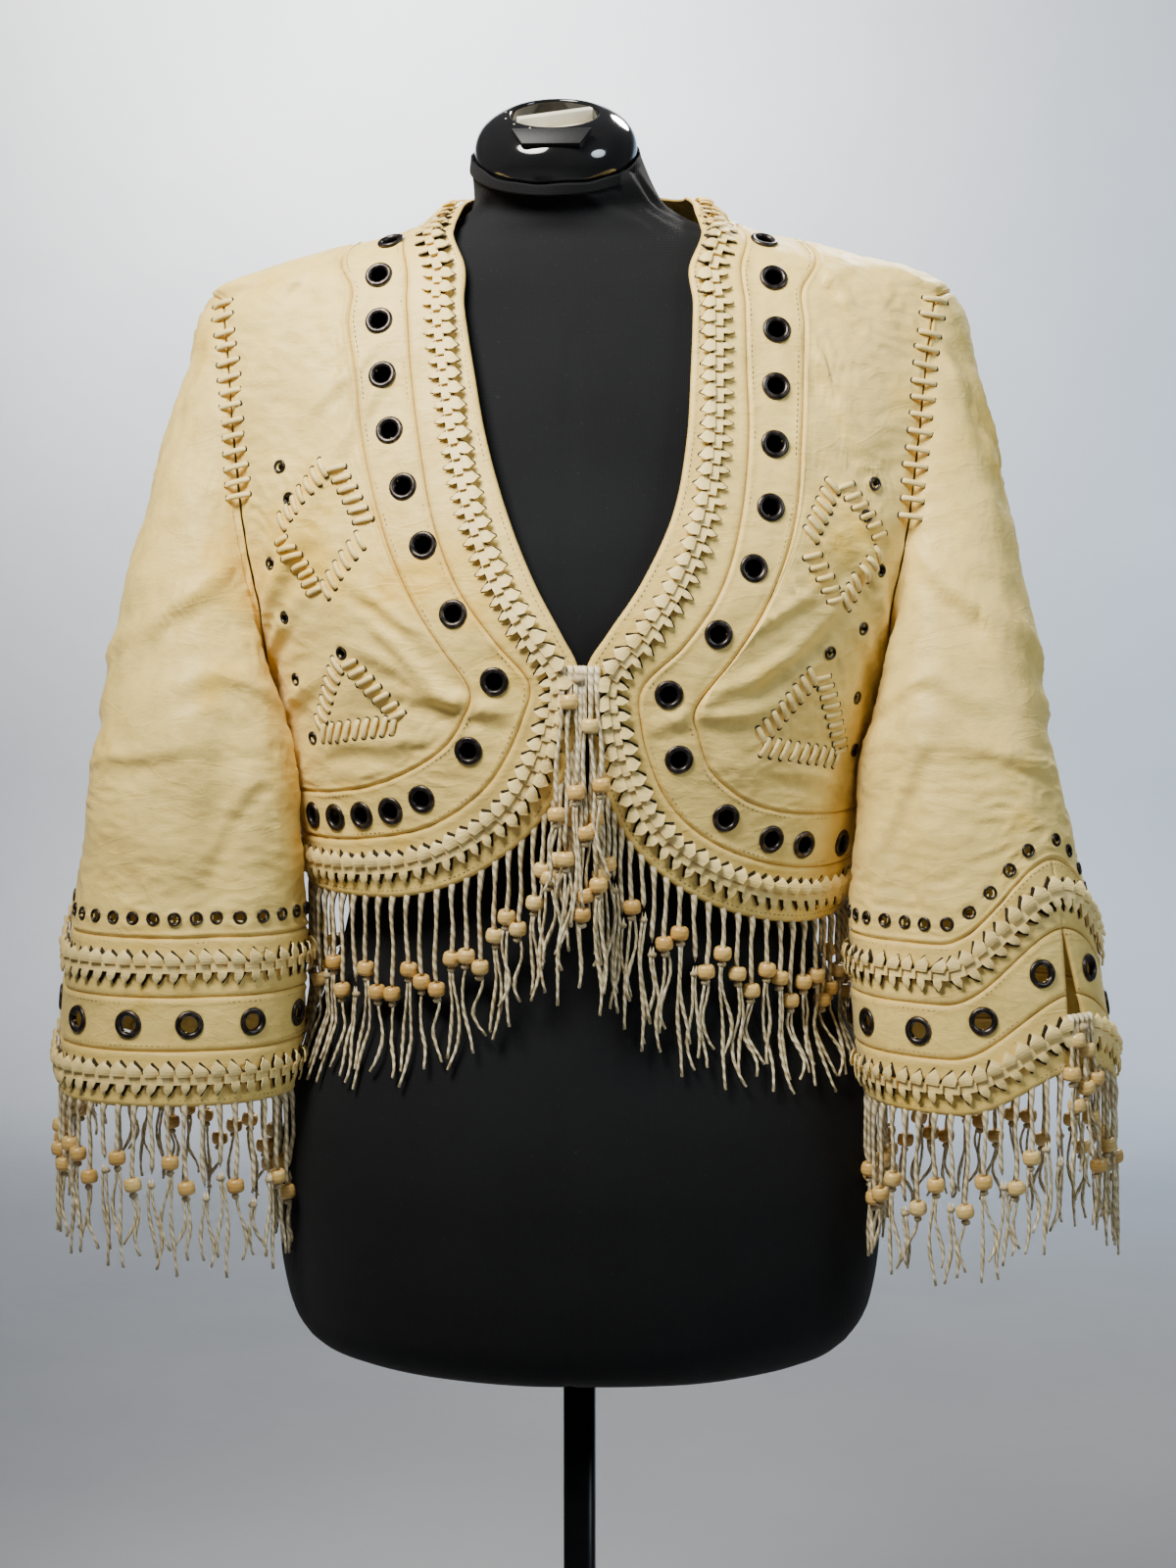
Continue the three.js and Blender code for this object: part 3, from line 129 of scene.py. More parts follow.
CAP = table(("share", "margin"),
            ((0, 0), (0.08, 4.5), (0.25, 7.5), (0.45, 7.5), (0.65, 6), (0.83, 4.5), (1, 3.2)))
CUFF = table(("z", "rise"), ((842, 46), (809, 41), (779, 35), (748, 26)))
SLEEVE_FOLDS = ((-1, -22, 885, 13, 75, 8), (-1, 25, 930, 20, 90, 3), (1, -40, 890, 12, 70, 5),
                (1, 10, 960, 20, 80, 3), (-1, 150, 900, 18, 80, 5), (1, 165, 900, 18, 80, 5))
EYELETS_L = (
    (65, 1232), (57.9, 1211), (53.1, 1184.5), (48.7, 1154), (44.3, 1123), (39.2, 1092), (33, 1060),
    (25.2, 1023), (16.4, 986.5), (23.1, 948.5), (34.9, 921), (42.6, 913.5), (50, 910), (57.6, 907.5),
    (65.6, 907), (76, 907))
EYELETS_R = (
    (65, 1231), (58.1, 1208), (54.2, 1178.5), (50.8, 1147), (48.1, 1115), (45.2, 1080.5), (40.5, 1047.5),
    (32.8, 1012), (23, 979.5), (26, 944), (37.5, 911), (48.4, 898), (56.8, 893.5), (69.5, 891.5), (80, 894))


def vary(seed):
    """A repeatable number from -1 to 1."""
    return math.sin(seed * 12.9898 + 4.1) * math.cos(seed * 5.233 + 1.7)


def smooth(x):
    x = np.clip(x, 0, 1)
    return x * x * (3 - 2 * x)


def value_at(rows, name, z):
    """Column of a table at z, smooth and never past the values of its rows."""
    zs, v = rows["z"], rows[name]
    d = np.diff(v) / np.diff(zs)
    m = np.zeros(len(v))
    m[0], m[-1] = d[0], d[-1]
    same = np.flatnonzero(d[:-1] * d[1:] > 0)
    m[same + 1] = 2 * d[same] * d[same + 1] / (d[same] + d[same + 1])
    k = np.clip(np.searchsorted(zs, z, side="right") - 1, 0, len(zs) - 2)
    span = zs[k + 1] - zs[k]
    s = np.clip((z - zs[k]) / span, 0, 1)
    return (v[k] * (1 + 2 * s) * (1 - s) ** 2 + span * m[k] * s * (1 - s) ** 2
            + v[k + 1] * s * s * (3 - 2 * s) + span * m[k + 1] * s * s * (s - 1))


def along(values, place):
    """Smooth value between the rows of a seam table, at places counted in rows."""
    last = len(values) - 1
    k = np.clip(np.floor(place).astype(int), 0, last - 1)
    s = place - k
    before, after = values[np.maximum(k - 1, 0)], values[np.minimum(k + 2, last)]
    a, b = values[k], values[k + 1]
    return (a * (1 + 2 * s) * (1 - s) ** 2 + (b - before) / 2 * s * (1 - s) ** 2
            + b * s * s * (3 - 2 * s) + (after - a) / 2 * s * s * (s - 1))


def reach(rows, turn, z):
    """Distance from the axis to a rounded section."""
    sine, cosine = np.abs(np.sin(np.radians(turn))), np.cos(np.radians(turn))
    depth = np.where(cosine > 0, value_at(rows, "front", z), value_at(rows, "back", z))
    power = value_at(rows, "power", z)
    return ((sine / value_at(rows, "half", z)) ** power + (np.abs(cosine) / depth) ** power) ** (-1 / power)


def body(turn, z):
    turn, z = np.broadcast_arrays(np.asarray(turn, float), np.asarray(z, float))
    r = reach(JACKET, turn, z)
    return np.stack([r * np.sin(np.radians(turn)), AXIS_Y - r * np.cos(np.radians(turn)), z], -1)


def from_axis(points):
    """Rough outward direction on the body."""
    return points * (1, 1, 0) - (0, AXIS_Y, 0)


def front_rows(side):
    return FRONT_L if side < 0 else FRONT_R


def front_seam(side, seam, place):
    rows = front_rows(side)
    return side * along(rows[seam + "_turn"], place), along(rows[seam + "_z"], place)


def armhole(side, place, is_back=False):
    turn = along(ARMHOLE["back_turn" if is_back else "front_turn"], place)
    return side * turn, along(ARMHOLE["z"], place)


def front_lane(side, lower, upper):
    """A band of one front, between two of its seams."""
    def place(u, v):
        a, b = front_seam(side, lower, u * FRONT_ROWS), front_seam(side, upper, u * FRONT_ROWS)
        return body(a[0] + (b[0] - a[0]) * v, a[1] + (b[1] - a[1]) * v)
    return place


def front_panel(side):
    def place(u, v):
        a, b = front_seam(side, "panel", u * FRONT_ROWS), armhole(side, u * ARM_STEPS)
        return body(a[0] + (b[0] - a[0]) * v, a[1] + (b[1] - a[1]) * v)
    return place


def hem_seam(seam, share):
    turn = 270 - 180 * share
    side = np.where(turn > 180, FRONT_L[seam + "_z"][-1], FRONT_R[seam + "_z"][-1])
    return turn, BACK_HEM[seam] + (side - BACK_HEM[seam]) * ((turn - 180) / 90) ** 2


def neck_seam(seam, share):
    turn = 270 - 180 * share
    side = FRONT_L[seam + "_z"][0]
    return turn, BACK_NECK[seam] + (side - BACK_NECK[seam]) * (1 - np.cos(np.radians(2 * (turn - 180)))) / 2


def back_lane(seam_of, lower, upper):
    """A band of the back, at the neck or the hem."""
    def place(u, v):
        a, b = seam_of(lower, u), seam_of(upper, u)
        return body(a[0], a[1] + (b[1] - a[1]) * v)
    return place


def back_panel(u, v):
    """The back, blended between its hem, its neck and shoulders, and its two sides."""
    sides, necks = 4, 8
    rows, columns = sides + ARM_STEPS, 2 * sides + necks

    def flank(side, v):
        k = v * rows
        low = front_rows(side)["panel_z"][-1]
        arm_turn, arm_z = armhole(1, np.clip(rows - k, 0, ARM_STEPS), True)
        is_low = k <= sides
        turn = np.where(is_low, 90, arm_turn)
        z = np.where(is_low, low + (ARMHOLE["z"][-1] - low) * k / sides, arm_z)
        return (360 - turn if side < 0 else turn), z

    def top(u):
        k = u * columns
        tip, neck = ARMHOLE["z"][0], FRONT_L["panel_z"][0]
        turn, z = neck_seam("panel", np.clip((k - sides) / necks, 0, 1))
        from_side = np.minimum(k, columns - k) / sides
        is_shoulder = from_side <= 1
        return np.where(is_shoulder, np.where(k < columns / 2, 270, 90), turn), np.where(
            is_shoulder, tip + (neck - tip) * from_side, z)

    def blend(n):
        one, zero = np.ones_like(u), np.zeros_like(u)
        low, high = hem_seam("panel", u)[n], top(u)[n]
        left, right = flank(-1, v)[n], flank(1, v)[n]
        corners = ((1 - u) * (1 - v) * hem_seam("panel", zero)[n] + u * (1 - v) * hem_seam("panel", one)[n]
                   + (1 - u) * v * top(zero)[n] + u * v * top(one)[n])
        return (1 - v) * low + v * high + (1 - u) * left + u * right - corners

    return body(blend(0), blend(1))


def clear_of_body(points, margin):
    """Pushes points out of the jacket's side and the fringe, or lower down out of the form's hip."""
    turn = np.degrees(np.arctan2(points[:, 0], AXIS_Y - points[:, 1]))
    z = points[:, 2]
    gap = HEM_MARGIN + (margin - HEM_MARGIN) * smooth((z - HEM_LEVEL) / HEM_BLEND)
    side = reach(JACKET, turn, np.maximum(z, JACKET_LOW)) + gap
    limit = np.maximum(reach(TORSO, turn, z) + HIP_MARGIN, side)
    distance = np.hypot(points[:, 0], points[:, 1] - AXIS_Y)
    scale = np.maximum(1, limit / distance)
    return np.stack([points[:, 0] * scale, AXIS_Y + (points[:, 1] - AXIS_Y) * scale, z], -1)


def tube(side, turn, z):
    """Point of a sleeve; the turn is 0 at the front and 90 on the outer side."""
    turn, z = np.broadcast_arrays(np.asarray(turn, float), np.asarray(z, float))
    rows = SLEEVE_L if side < 0 else SLEEVE_R
    outer, inner = value_at(rows, "outer", z), value_at(rows, "inner", z)
    sine, cosine = np.sin(np.radians(turn)), np.cos(np.radians(turn))
    r = ((np.abs(sine) / ((outer - inner) / 2)) ** SLEEVE_POWER
         + (np.abs(cosine) / value_at(rows, "depth", z)) ** SLEEVE_POWER) ** (-1 / SLEEVE_POWER)
    for fold_side, fold_turn, fold_z, breadth, length, depth in SLEEVE_FOLDS:
        if fold_side == side:
            offset = (turn - fold_turn + 180) % 360 - 180
            r = r - depth * np.exp(-(offset / breadth) ** 2 - ((z - fold_z) / length) ** 2)
    out = (outer + inner) / 2 + r * sine
    points = np.stack([side * out, value_at(rows, "y", z) - r * cosine, z], -1)
    return clear_of_body(points.reshape(-1, 3), SLEEVE_MARGIN).reshape(points.shape)


def from_sleeve(side):
    """Rough outward direction on a sleeve."""
    rows = SLEEVE_L if side < 0 else SLEEVE_R

    def out(points):
        z = np.clip(points[:, 2], SLEEVE_LOW, SLEEVE_TOP)
        middle = side * (value_at(rows, "outer", z) + value_at(rows, "inner", z)) / 2
        middle = middle - side * 0.12 * np.clip(points[:, 2] - SLEEVE_TOP, 0, 300)
        return np.stack([points[:, 0] - middle, points[:, 1] - value_at(rows, "y", z), 0 * z], -1)
    return out


def vent_turn(side):
    return SLEEVE_START - side * VENT_OFFSET


def cuff_height(side, seam, turn):
    """Height of a cuff seam: it rises towards the vent."""
    offset = np.abs((turn - vent_turn(side) + 180) % 360 - 180)
    share = np.maximum(0, 1 - offset / RISE_SPREAD)
    z, rise = (np.interp(seam, range(4), CUFF[name]) for name in ("z", "rise"))
    return z + rise * share * share * (3 - 2 * share)


def sleeve(side):
    """Sleeve from the armhole, u round it from the shoulder tip and v down to the cuff."""
    def place(u, v):
        k = u * 2 * ARM_STEPS
        from_tip = np.where(k > ARM_STEPS, 2 * ARM_STEPS - k, k)
        front, rear = armhole(side, from_tip), armhole(side, from_tip, True)
        arm = body(np.where(k > ARM_STEPS, rear[0], front[0]), front[1])
        turn = SLEEVE_START - k * 180 / ARM_STEPS
        s = np.clip(v / CAP_SHARE, 0, 1)[:, None]
        base = tube(side, turn, SLEEVE_TOP)
        below = tube(side, turn, SLEEVE_TOP - 10) - base
        below /= np.linalg.norm(below, axis=1)[:, None]
        outer = np.maximum(0, np.sin(np.radians(turn)))[:, None]
        bulge = np.sin(math.pi * s) * CAP_BULGE * (0.4 + 0.6 * outer)
        cap = arm + (base - arm) * s + bulge * (side, 0, 0) - below * 14 * s * s * (1 - s)
        cap = np.where(s > 0, clear_of_body(cap, np.interp(s[:, 0], CAP["share"], CAP["margin"])), cap)
        t = np.clip((v - CAP_SHARE) / (1 - CAP_SHARE), 0, 1)
        drop = (cuff_height(side, 0, turn) - SLEEVE_TOP) * t
        return np.where((v <= CAP_SHARE)[:, None], cap, tube(side, turn, SLEEVE_TOP + drop))
    return place


def cuff_lane(side, upper, lower):
    """A band of a cuff; u runs round from the vent, whose ends part towards the hem."""
    vent = vent_turn(side)

    def place(u, v):
        seam = upper + (lower - upper) * v
        shift = np.degrees(VENT_GAP / 2 * np.maximum(0, (seam - 1) / 2) / CUFF_RADIUS)
        parting = np.exp(-360 * u / VENT_EASE) - np.exp(-360 * (1 - u) / VENT_EASE)
        turn = vent + 360 * u + shift * parting
        return tube(side, turn, cuff_height(side, seam, turn))
    return place


# Building
def mesh_from(name, bm):
    mesh = bpy.data.meshes.new(name)
    bm.to_mesh(mesh)
    bm.free()
    return mesh


def bits_object(name, bm, materials, smooth_faces=True):
    """Makes a mesh object from a bmesh in millimetres."""
    bmesh.ops.scale(bm, vec=(MM, MM, MM), verts=bm.verts)
    mesh = mesh_from(name, bm)
    if smooth_faces:
        mesh.shade_smooth()
    else:
        mesh.shade_flat()
    for material in materials:
        mesh.materials.append(material)
    piece = bpy.data.objects.new(name, mesh)
    bpy.context.scene.collection.objects.link(piece)
    return piece


def settle(piece, slot, *nodes):
    """Hangs a piece on the root body and hides the nodes that it stands for; slot is not used."""
    if nodes:
        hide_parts(*nodes)
    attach(piece, "root")


def thicken(piece, thickness, offset):
    """Turns a sheet into a wall: offset -1 grows it inwards, 1 outwards and 0 both ways."""
    wall = piece.modifiers.new("wall", "SOLIDIFY")
    wall.thickness = thickness * MM
    wall.offset = offset


def spread(t, share=0.6):
    """Moves evenly spaced grid lines nearer to both ends."""
    return t + ((1 - np.cos(math.pi * t)) / 2 - t) * share


def arcs(grid, axis):
    steps = np.linalg.norm(np.diff(grid, axis=axis), axis=2)
    lead = np.zeros_like(np.take(steps, [0], axis=axis))
    return np.concatenate([lead, np.cumsum(steps, axis=axis)], axis=axis)


surfaces = []


def on_leather(point):
    """Nearest point of the finished leather, in mm."""
    found = [tree.find_nearest(point) for tree in surfaces]
    return min(found, key=lambda hit: hit[3])[0]


def calm_round(points, spots, radius):
    """0 on the spots and 1 away from them, so that the leather lies flat under its eyelets."""
    calm = np.ones(len(points))
    for spot in spots:
        calm *= 1 - np.exp(-(np.linalg.norm(points - spot, axis=1) / radius) ** 4)
    return calm


def noise_at(points, size, shift):
    """Smooth noise on points, of about -1 to 1."""
    return np.array([noise.noise(Vector(point / size) + Vector(shift)) for point in points])


def wrinkles(points, seed):
    """Soft dents, small folds and patches of fine slanting ripples."""
    rough = noise_at(points, 34, (seed, 0, 0))
    fine = noise_at(points, np.array((17, 17, 8)), (0, seed, 3))
    patch = smooth(0.2 + 2.6 * noise_at(points, 58, (3, 0, seed)))
    slant = points[:, 2] + 0.7 * np.abs(points[:, 0]) + 30 * rough
    ripples = np.sin(slant / 1.35) * (0.6 + fine) + 0.7 * np.sin(slant / 2.3 + 9 * fine)
    return 2.0 * rough + 0.5 * (0.5 - np.abs(fine) * 2.2) + 0.26 * patch * ripples


def crease_lift(points, centre, lean, length, width, height):
    """One curved crease: a ridge with its dip beside it, fading out along its length."""
    offset, axis = points - centre, from_axis(points)
    turning = axis[:, 0] * offset[:, 1] - axis[:, 1] * offset[:, 0]
    flank = np.hypot(offset[:, 0], offset[:, 1]) * np.sign(turning)
    a = flank * math.cos(lean) + offset[:, 2] * math.sin(lean)
    b = (offset[:, 2] * math.cos(lean) - flank * math.sin(lean)) / width + 0.25 * np.sin(a / length * 2.4)
    return height * np.exp(-(a / length) ** 2) * (b * np.exp(0.5 - b * b) + 0.5 * np.exp(-b * b))


def cut_holes(bm, holes):
    """Takes out the faces round each spot, given with its radius."""
    if not holes:
        return
    middles = np.array([face.calc_center_median() for face in bm.faces])
    gone = np.zeros(len(middles), bool)
    for spot, radius in holes:
        gone |= np.linalg.norm(middles - spot, axis=1) < radius
    bmesh.ops.delete(bm, geom=[face for face, cut in zip(bm.faces, gone) if cut], context="FACES")


def face_outwards(bm, hint):
    """Turns the faces over where most of them look against a rough outward direction."""
    bm.normal_update()
    pairs = list(zip(bm.verts, hint))[::7]
    if sum(vert.normal.dot(Vector(outward)) for vert, outward in pairs) < 0:
        bmesh.ops.reverse_faces(bm, faces=bm.faces)
        bm.normal_update()


def panel(name, material, place, out, columns, rows, spots=(), small_spots=(), creases=(), is_ring=False,
          pucker=0.3, crinkle=0.5, seed=0):
    """A piece of leather on a chart, with sunk seams, creases, puckers and eyelet holes."""
    bm = bmesh.new()
    bmesh.ops.create_grid(bm, x_segments=columns, y_segments=rows, size=0.5)
    flat = np.array([vert.co for vert in bm.verts]) + 0.5
    i, j = np.rint(flat[:, 0] * columns).astype(int), np.rint(flat[:, 1] * rows).astype(int)
    u = flat[:, 0] if is_ring else spread(flat[:, 0], 0.3)
    points = place(u, spread(flat[:, 1]))
    for vert, point in zip(bm.verts, points):
        vert.co = point
    face_outwards(bm, out(points))

    grid = np.zeros((columns + 1, rows + 1, 3))
    grid[i, j] = points
    down, across = arcs(grid, 1), arcs(grid, 0)
    rims = [down, down[:, -1:] - down]
    if not is_ring:
        rims += [across, across[-1:] - across]
    rim = np.minimum.reduce(rims)[i, j]

    calm = smooth(rim / 9) * calm_round(points, spots, 9.5) * calm_round(points, small_spots, 4.5)
    wave = np.array([noise.noise(Vector((run / 7.5, seed, 0.5))) for run in across[i, j]])
    depth = -0.95 * np.exp(-(rim / 1.1) ** 2) + 0.4 * np.exp(-((rim - 2.3) / 1.2) ** 2)
    depth += calm * crinkle * wrinkles(points, seed)
    depth += pucker * wave * np.exp(-rim / 7) * smooth(rim / 2)
    for row in creases:
        depth += calm * crease_lift(points, *row)
    seam_layer = bm.verts.layers.float.new("seam")
    for vert, lift, near in zip(bm.verts, depth, rim):
        vert.co += vert.normal * lift
        vert[seam_layer] = min(near / 10, 1)
    if is_ring:
        bmesh.ops.remove_doubles(bm, verts=bm.verts, dist=0.01)
    surfaces.append(BVHTree.FromBMesh(bm))
    cut_holes(bm,
              [(spot, EYELET_HOLE + 1.2) for spot in spots] + [(spot, SMALL_HOLE) for spot in small_spots])

    piece = bits_object(name, bm, [material])
    thicken(piece, WALL, -1)
    return piece


def frame_at(place, out, u, v=0.5):
    """Frame in mm on a chart: X along it, Z out of it, and Y to its left."""
    e = 0.002
    spots = place(np.clip([u - e, u + e, u, u, u], 0, 1), np.clip([v, v, v - 0.03, v + 0.03, v], 0, 1))
    along_x = Vector(spots[1] - spots[0]).normalized()
    outward = along_x.cross(Vector(spots[3] - spots[2])).normalized()
    if outward.dot(Vector(out(spots[4:])[0])) < 0:
        outward = -outward
    return frame_of(Vector(spots[4]), along_x, outward)


def evenly(place, step, v=0.5, inset=None, is_upper=False, start=0.0, end=1.0):
    """Places a step apart along a chart, at a share of its width or at a distance in mm from one rim."""
    u = np.linspace(start, end, 500)
    shares = np.full(500, float(v))
    if inset is not None:
        width = np.linalg.norm(place(u, np.ones(500)) - place(u, np.zeros(500)), axis=1)
        shares = 1 - inset / width if is_upper else inset / width
    steps = np.linalg.norm(np.diff(place(u, shares), axis=0), axis=1)
    run = np.concatenate([[0], np.cumsum(steps)])
    count = int(run[-1] / step)
    at = np.interp((np.arange(count) + 0.5) * run[-1] / count, run, u)
    return list(zip(at, np.interp(at, u, shares)))


def frame_of(place, along_x, out):
    side = out.cross(along_x).normalized()
    along_x = side.cross(out)
    matrix = Matrix((along_x, side, out)).transposed().to_4x4()
    matrix.translation = place
    return matrix


def bit(bm, matrix, columns, rows, shape):
    """A small sheet: shape gives a local point for each x and y from -0.5 to 0.5."""
    made = bmesh.ops.create_grid(bm, x_segments=columns, y_segments=rows, size=0.5)["verts"]
    for vert in made:
        vert.co = matrix @ Vector(shape(vert.co.x, vert.co.y))
    return made


def copy_into(bm, mesh, matrix):
    start = len(bm.verts)
    bm.from_mesh(mesh)
    bm.verts.ensure_lookup_table()
    bmesh.ops.transform(bm, matrix=matrix, verts=bm.verts[start:])


def turned(name, profile, steps, is_ring=True):
    """Mesh spun from radii and heights; a profile that isn't a ring's starts and ends on the axis."""
    bm = bmesh.new()
    verts = [bm.verts.new((r, 0, h)) for r, h in profile]
    edges = [bm.edges.new(pair) for pair in zip(verts, verts[1:] + (verts[:1] if is_ring else []))]
    bmesh.ops.spin(bm, geom=verts + edges, axis=(0, 0, 1), cent=(0, 0, 0), steps=steps, angle=2 * math.pi,
                   use_merge=True)
    bmesh.ops.remove_doubles(bm, verts=bm.verts, dist=1e-4)
    bmesh.ops.recalc_face_normals(bm, faces=bm.faces)
    return mesh_from(name, bm)


def lump(name, size, detail=1):
    """Small rounded lump, such as one stitch or a knot."""
    bm = bmesh.new()
    bmesh.ops.create_icosphere(bm, subdivisions=detail, radius=1)
    bmesh.ops.scale(bm, vec=size, verts=bm.verts)
    return mesh_from(name, bm)


# Finishes
def finish(name, roughness=0.5, metallic=0.0, sheen=0.0, coat=0.0, specular=0.5):
    material = bpy.data.materials.new(name)
    material.use_nodes = True
    shader = material.node_tree.nodes["Principled BSDF"]
    for socket, value in (("Roughness", roughness), ("Metallic", metallic), ("Sheen Weight", sheen),
                          ("Coat Weight", coat), ("Specular IOR Level", specular)):
        shader.inputs[socket].default_value = value
    return material, material.node_tree, shader


def node(tree, kind, **values):
    made = tree.nodes.new(kind)
    for name, value in values.items():
        if name in made.inputs:
            made.inputs[name].default_value = value
        else:
            setattr(made, name, value)
    return made


def pattern(tree, kind, scale, vector=None, stretch=None, **values):
    """A texture on the object's own coordinates, in repeats a metre."""
    place = node(tree, "ShaderNodeTexCoord").outputs["Object"] if vector is None else vector
    if stretch is not None:
        mapping = node(tree, "ShaderNodeMapping", Scale=stretch)
        tree.links.new(place, mapping.inputs["Vector"])
        place = mapping.outputs["Vector"]
    texture = node(tree, kind, Scale=scale, **values)
    tree.links.new(place, texture.inputs["Vector"])
    return texture


def ramp(tree, source, *stops):
    """Colours at positions along a texture's value."""
    made = node(tree, "ShaderNodeValToRGB")
    band = made.color_ramp
    while len(band.elements) < len(stops):
        band.elements.new(0.5)
    for element, (position, colour) in zip(band.elements, stops):
        element.position = position
        element.color = colour if len(colour) == 4 else (*colour, 1)
    tree.links.new(source, made.inputs["Fac"])
    return made.outputs["Color"]


def blend(tree, kind, share, a, b):
    made = node(tree, "ShaderNodeMix", data_type="RGBA", blend_type=kind)
    sockets = [s for s in made.inputs if s.type == "RGBA"]
    factor = made.inputs[0]
    for socket, value in ((factor, share), (sockets[0], a), (sockets[1], b)):
        if isinstance(value, bpy.types.NodeSocket):
            tree.links.new(value, socket)
        elif socket is factor:
            socket.default_value = value
        else:
            socket.default_value = (*value, 1)
    return [s for s in made.outputs if s.type == "RGBA"][0]


def bumps(tree, shader, *layers):
    """Stacks height patterns: each layer is a source, a strength and a depth in metres."""
    previous = None
    for source, strength, depth in layers:
        bump = node(tree, "ShaderNodeBump", Strength=strength, Distance=depth)
        tree.links.new(source, bump.inputs["Height"])
        if previous is not None:
            tree.links.new(previous, bump.inputs["Normal"])
        previous = bump.outputs["Normal"]
    tree.links.new(previous, shader.inputs["Normal"])


def uneven_gloss(tree, shader, source, low, high):
    """Roughness that follows a texture, between two values."""
    made = node(tree, "ShaderNodeMapRange")
    made.inputs["To Min"].default_value = low
    made.inputs["To Max"].default_value = high
    tree.links.new(source, made.inputs["Value"])
    tree.links.new(made.outputs["Result"], shader.inputs["Roughness"])


def lambskin(name, cream, warm, shade, grain=0.35, has_seams=True):
    """Soft leather: warm patches, fine grain, small creases, and darker along the seams."""
    material, tree, shader = finish(name, roughness=0.52, sheen=0.08)
    patches = pattern(tree, "ShaderNodeTexNoise", 9, Detail=5, Roughness=0.62)
    colour = ramp(tree, patches.outputs["Fac"], (0.34, shade), (0.45, cream), (0.54, cream), (0.65, warm))
    mottle = pattern(tree, "ShaderNodeTexNoise", 75, Detail=6, Roughness=0.7)
    marks = ramp(tree, mottle.outputs["Fac"], (0.3, (0.80, 0.77, 0.70)), (0.5, (1, 1, 1)))
    colour = blend(tree, "MULTIPLY", 0.7, colour, marks)
    if has_seams:
        seam = node(tree, "ShaderNodeAttribute", attribute_name="seam")
        near = ramp(tree, seam.outputs["Fac"], (0.0, (0.76, 0.68, 0.54)), (0.1, (0.93, 0.90, 0.84)),
                    (0.8, (1, 1, 1)))
        colour = blend(tree, "MULTIPLY", 1.0, colour, near)
    tree.links.new(colour, shader.inputs["Base Color"])
    gloss = pattern(tree, "ShaderNodeTexNoise", 40, Detail=4)
    uneven_gloss(tree, shader, gloss.outputs["Fac"], 0.4, 0.68)
    creases = pattern(tree, "ShaderNodeTexNoise", 95, stretch=(0.7, 0.7, 1.5), Detail=6, Roughness=0.62,
                      Distortion=0.5)
    pores = pattern(tree, "ShaderNodeTexVoronoi", 850)
    lines = pattern(tree, "ShaderNodeTexNoise", 26, stretch=(0.6, 0.6, 1.4), Detail=4, Distortion=0.9)
    folds = ramp(tree, lines.outputs["Fac"], (0.46, (0, 0, 0)), (0.5, (1, 1, 1)), (0.54, (0, 0, 0)))
    bumps(tree, shader, (folds, 0.16, 0.0008), (creases.outputs["Fac"], 0.7, 0.0009),
          (pores.outputs["Distance"], grain, 0.00012))
    return material


def thong_leather():
    """Twisted strip: painted shade darkens the grooves that wind round it."""
    material, tree, shader = finish("Twisted thong", roughness=0.62)
    uv = node(tree, "ShaderNodeTexCoord").outputs["UV"]
    winding = pattern(tree, "ShaderNodeTexWave", 1.0, vector=uv, bands_direction="DIAGONAL", Distortion=1.2)
    winding.inputs["Detail Scale"].default_value = 2.0
    streak = pattern(tree, "ShaderNodeTexNoise", 160, Detail=5)
    colour = ramp(tree, streak.outputs["Fac"], (0.32, (0.58, 0.47, 0.26)), (0.5, (0.80, 0.68, 0.42)),
                  (0.7, (0.90, 0.80, 0.56)))
    # Painted shade: the colour is darkened in the winding grooves of the twist
    painted_groove_shade = ramp(tree, winding.outputs["Fac"], (0.1, (0.45, 0.40, 0.33)), (0.45, (1, 1, 1)))
    colour = blend(tree, "MULTIPLY", 0.75, colour, painted_groove_shade)
    tree.links.new(colour, shader.inputs["Base Color"])
    bumps(tree, shader, (winding.outputs["Fac"], 0.6, 0.0006), (streak.outputs["Fac"], 0.4, 0.0003))
    return material


def bead_wood():
    material, tree, shader = finish("Pale bead wood", roughness=0.38, coat=0.25)
    rings = pattern(tree, "ShaderNodeTexWave", 130, Distortion=5.0, bands_direction="Z")
    tint = pattern(tree, "ShaderNodeTexNoise", 22, Detail=2)
    base = ramp(tree, tint.outputs["Fac"], (0.35, (0.62, 0.36, 0.09)), (0.5, (0.76, 0.50, 0.155)),
                (0.65, (0.83, 0.62, 0.25)))
    lines = ramp(tree, rings.outputs["Fac"], (0.0, (0.82, 0.74, 0.60)), (0.6, (1, 1, 1)))
    tree.links.new(blend(tree, "MULTIPLY", 0.6, base, lines), shader.inputs["Base Color"])
    bumps(tree, shader, (rings.outputs["Fac"], 0.25, 0.0002))
    return material


def eyelet_metal():
    """Dark bronze, rubbed lighter in patches."""
    material, tree, shader = finish("Dark eyelet bronze", roughness=0.34, metallic=0.9)
    wear = pattern(tree, "ShaderNodeTexNoise", 260, Detail=5)
    dark = ramp(tree, wear.outputs["Fac"], (0.35, (0.030, 0.026, 0.024)), (0.55, (0.060, 0.050, 0.046)),
                (0.72, (0.16, 0.125, 0.105)))
    tree.links.new(dark, shader.inputs["Base Color"])
    uneven_gloss(tree, shader, wear.outputs["Fac"], 0.22, 0.5)
    bumps(tree, shader, (wear.outputs["Fac"], 0.25, 0.0002))
    return material


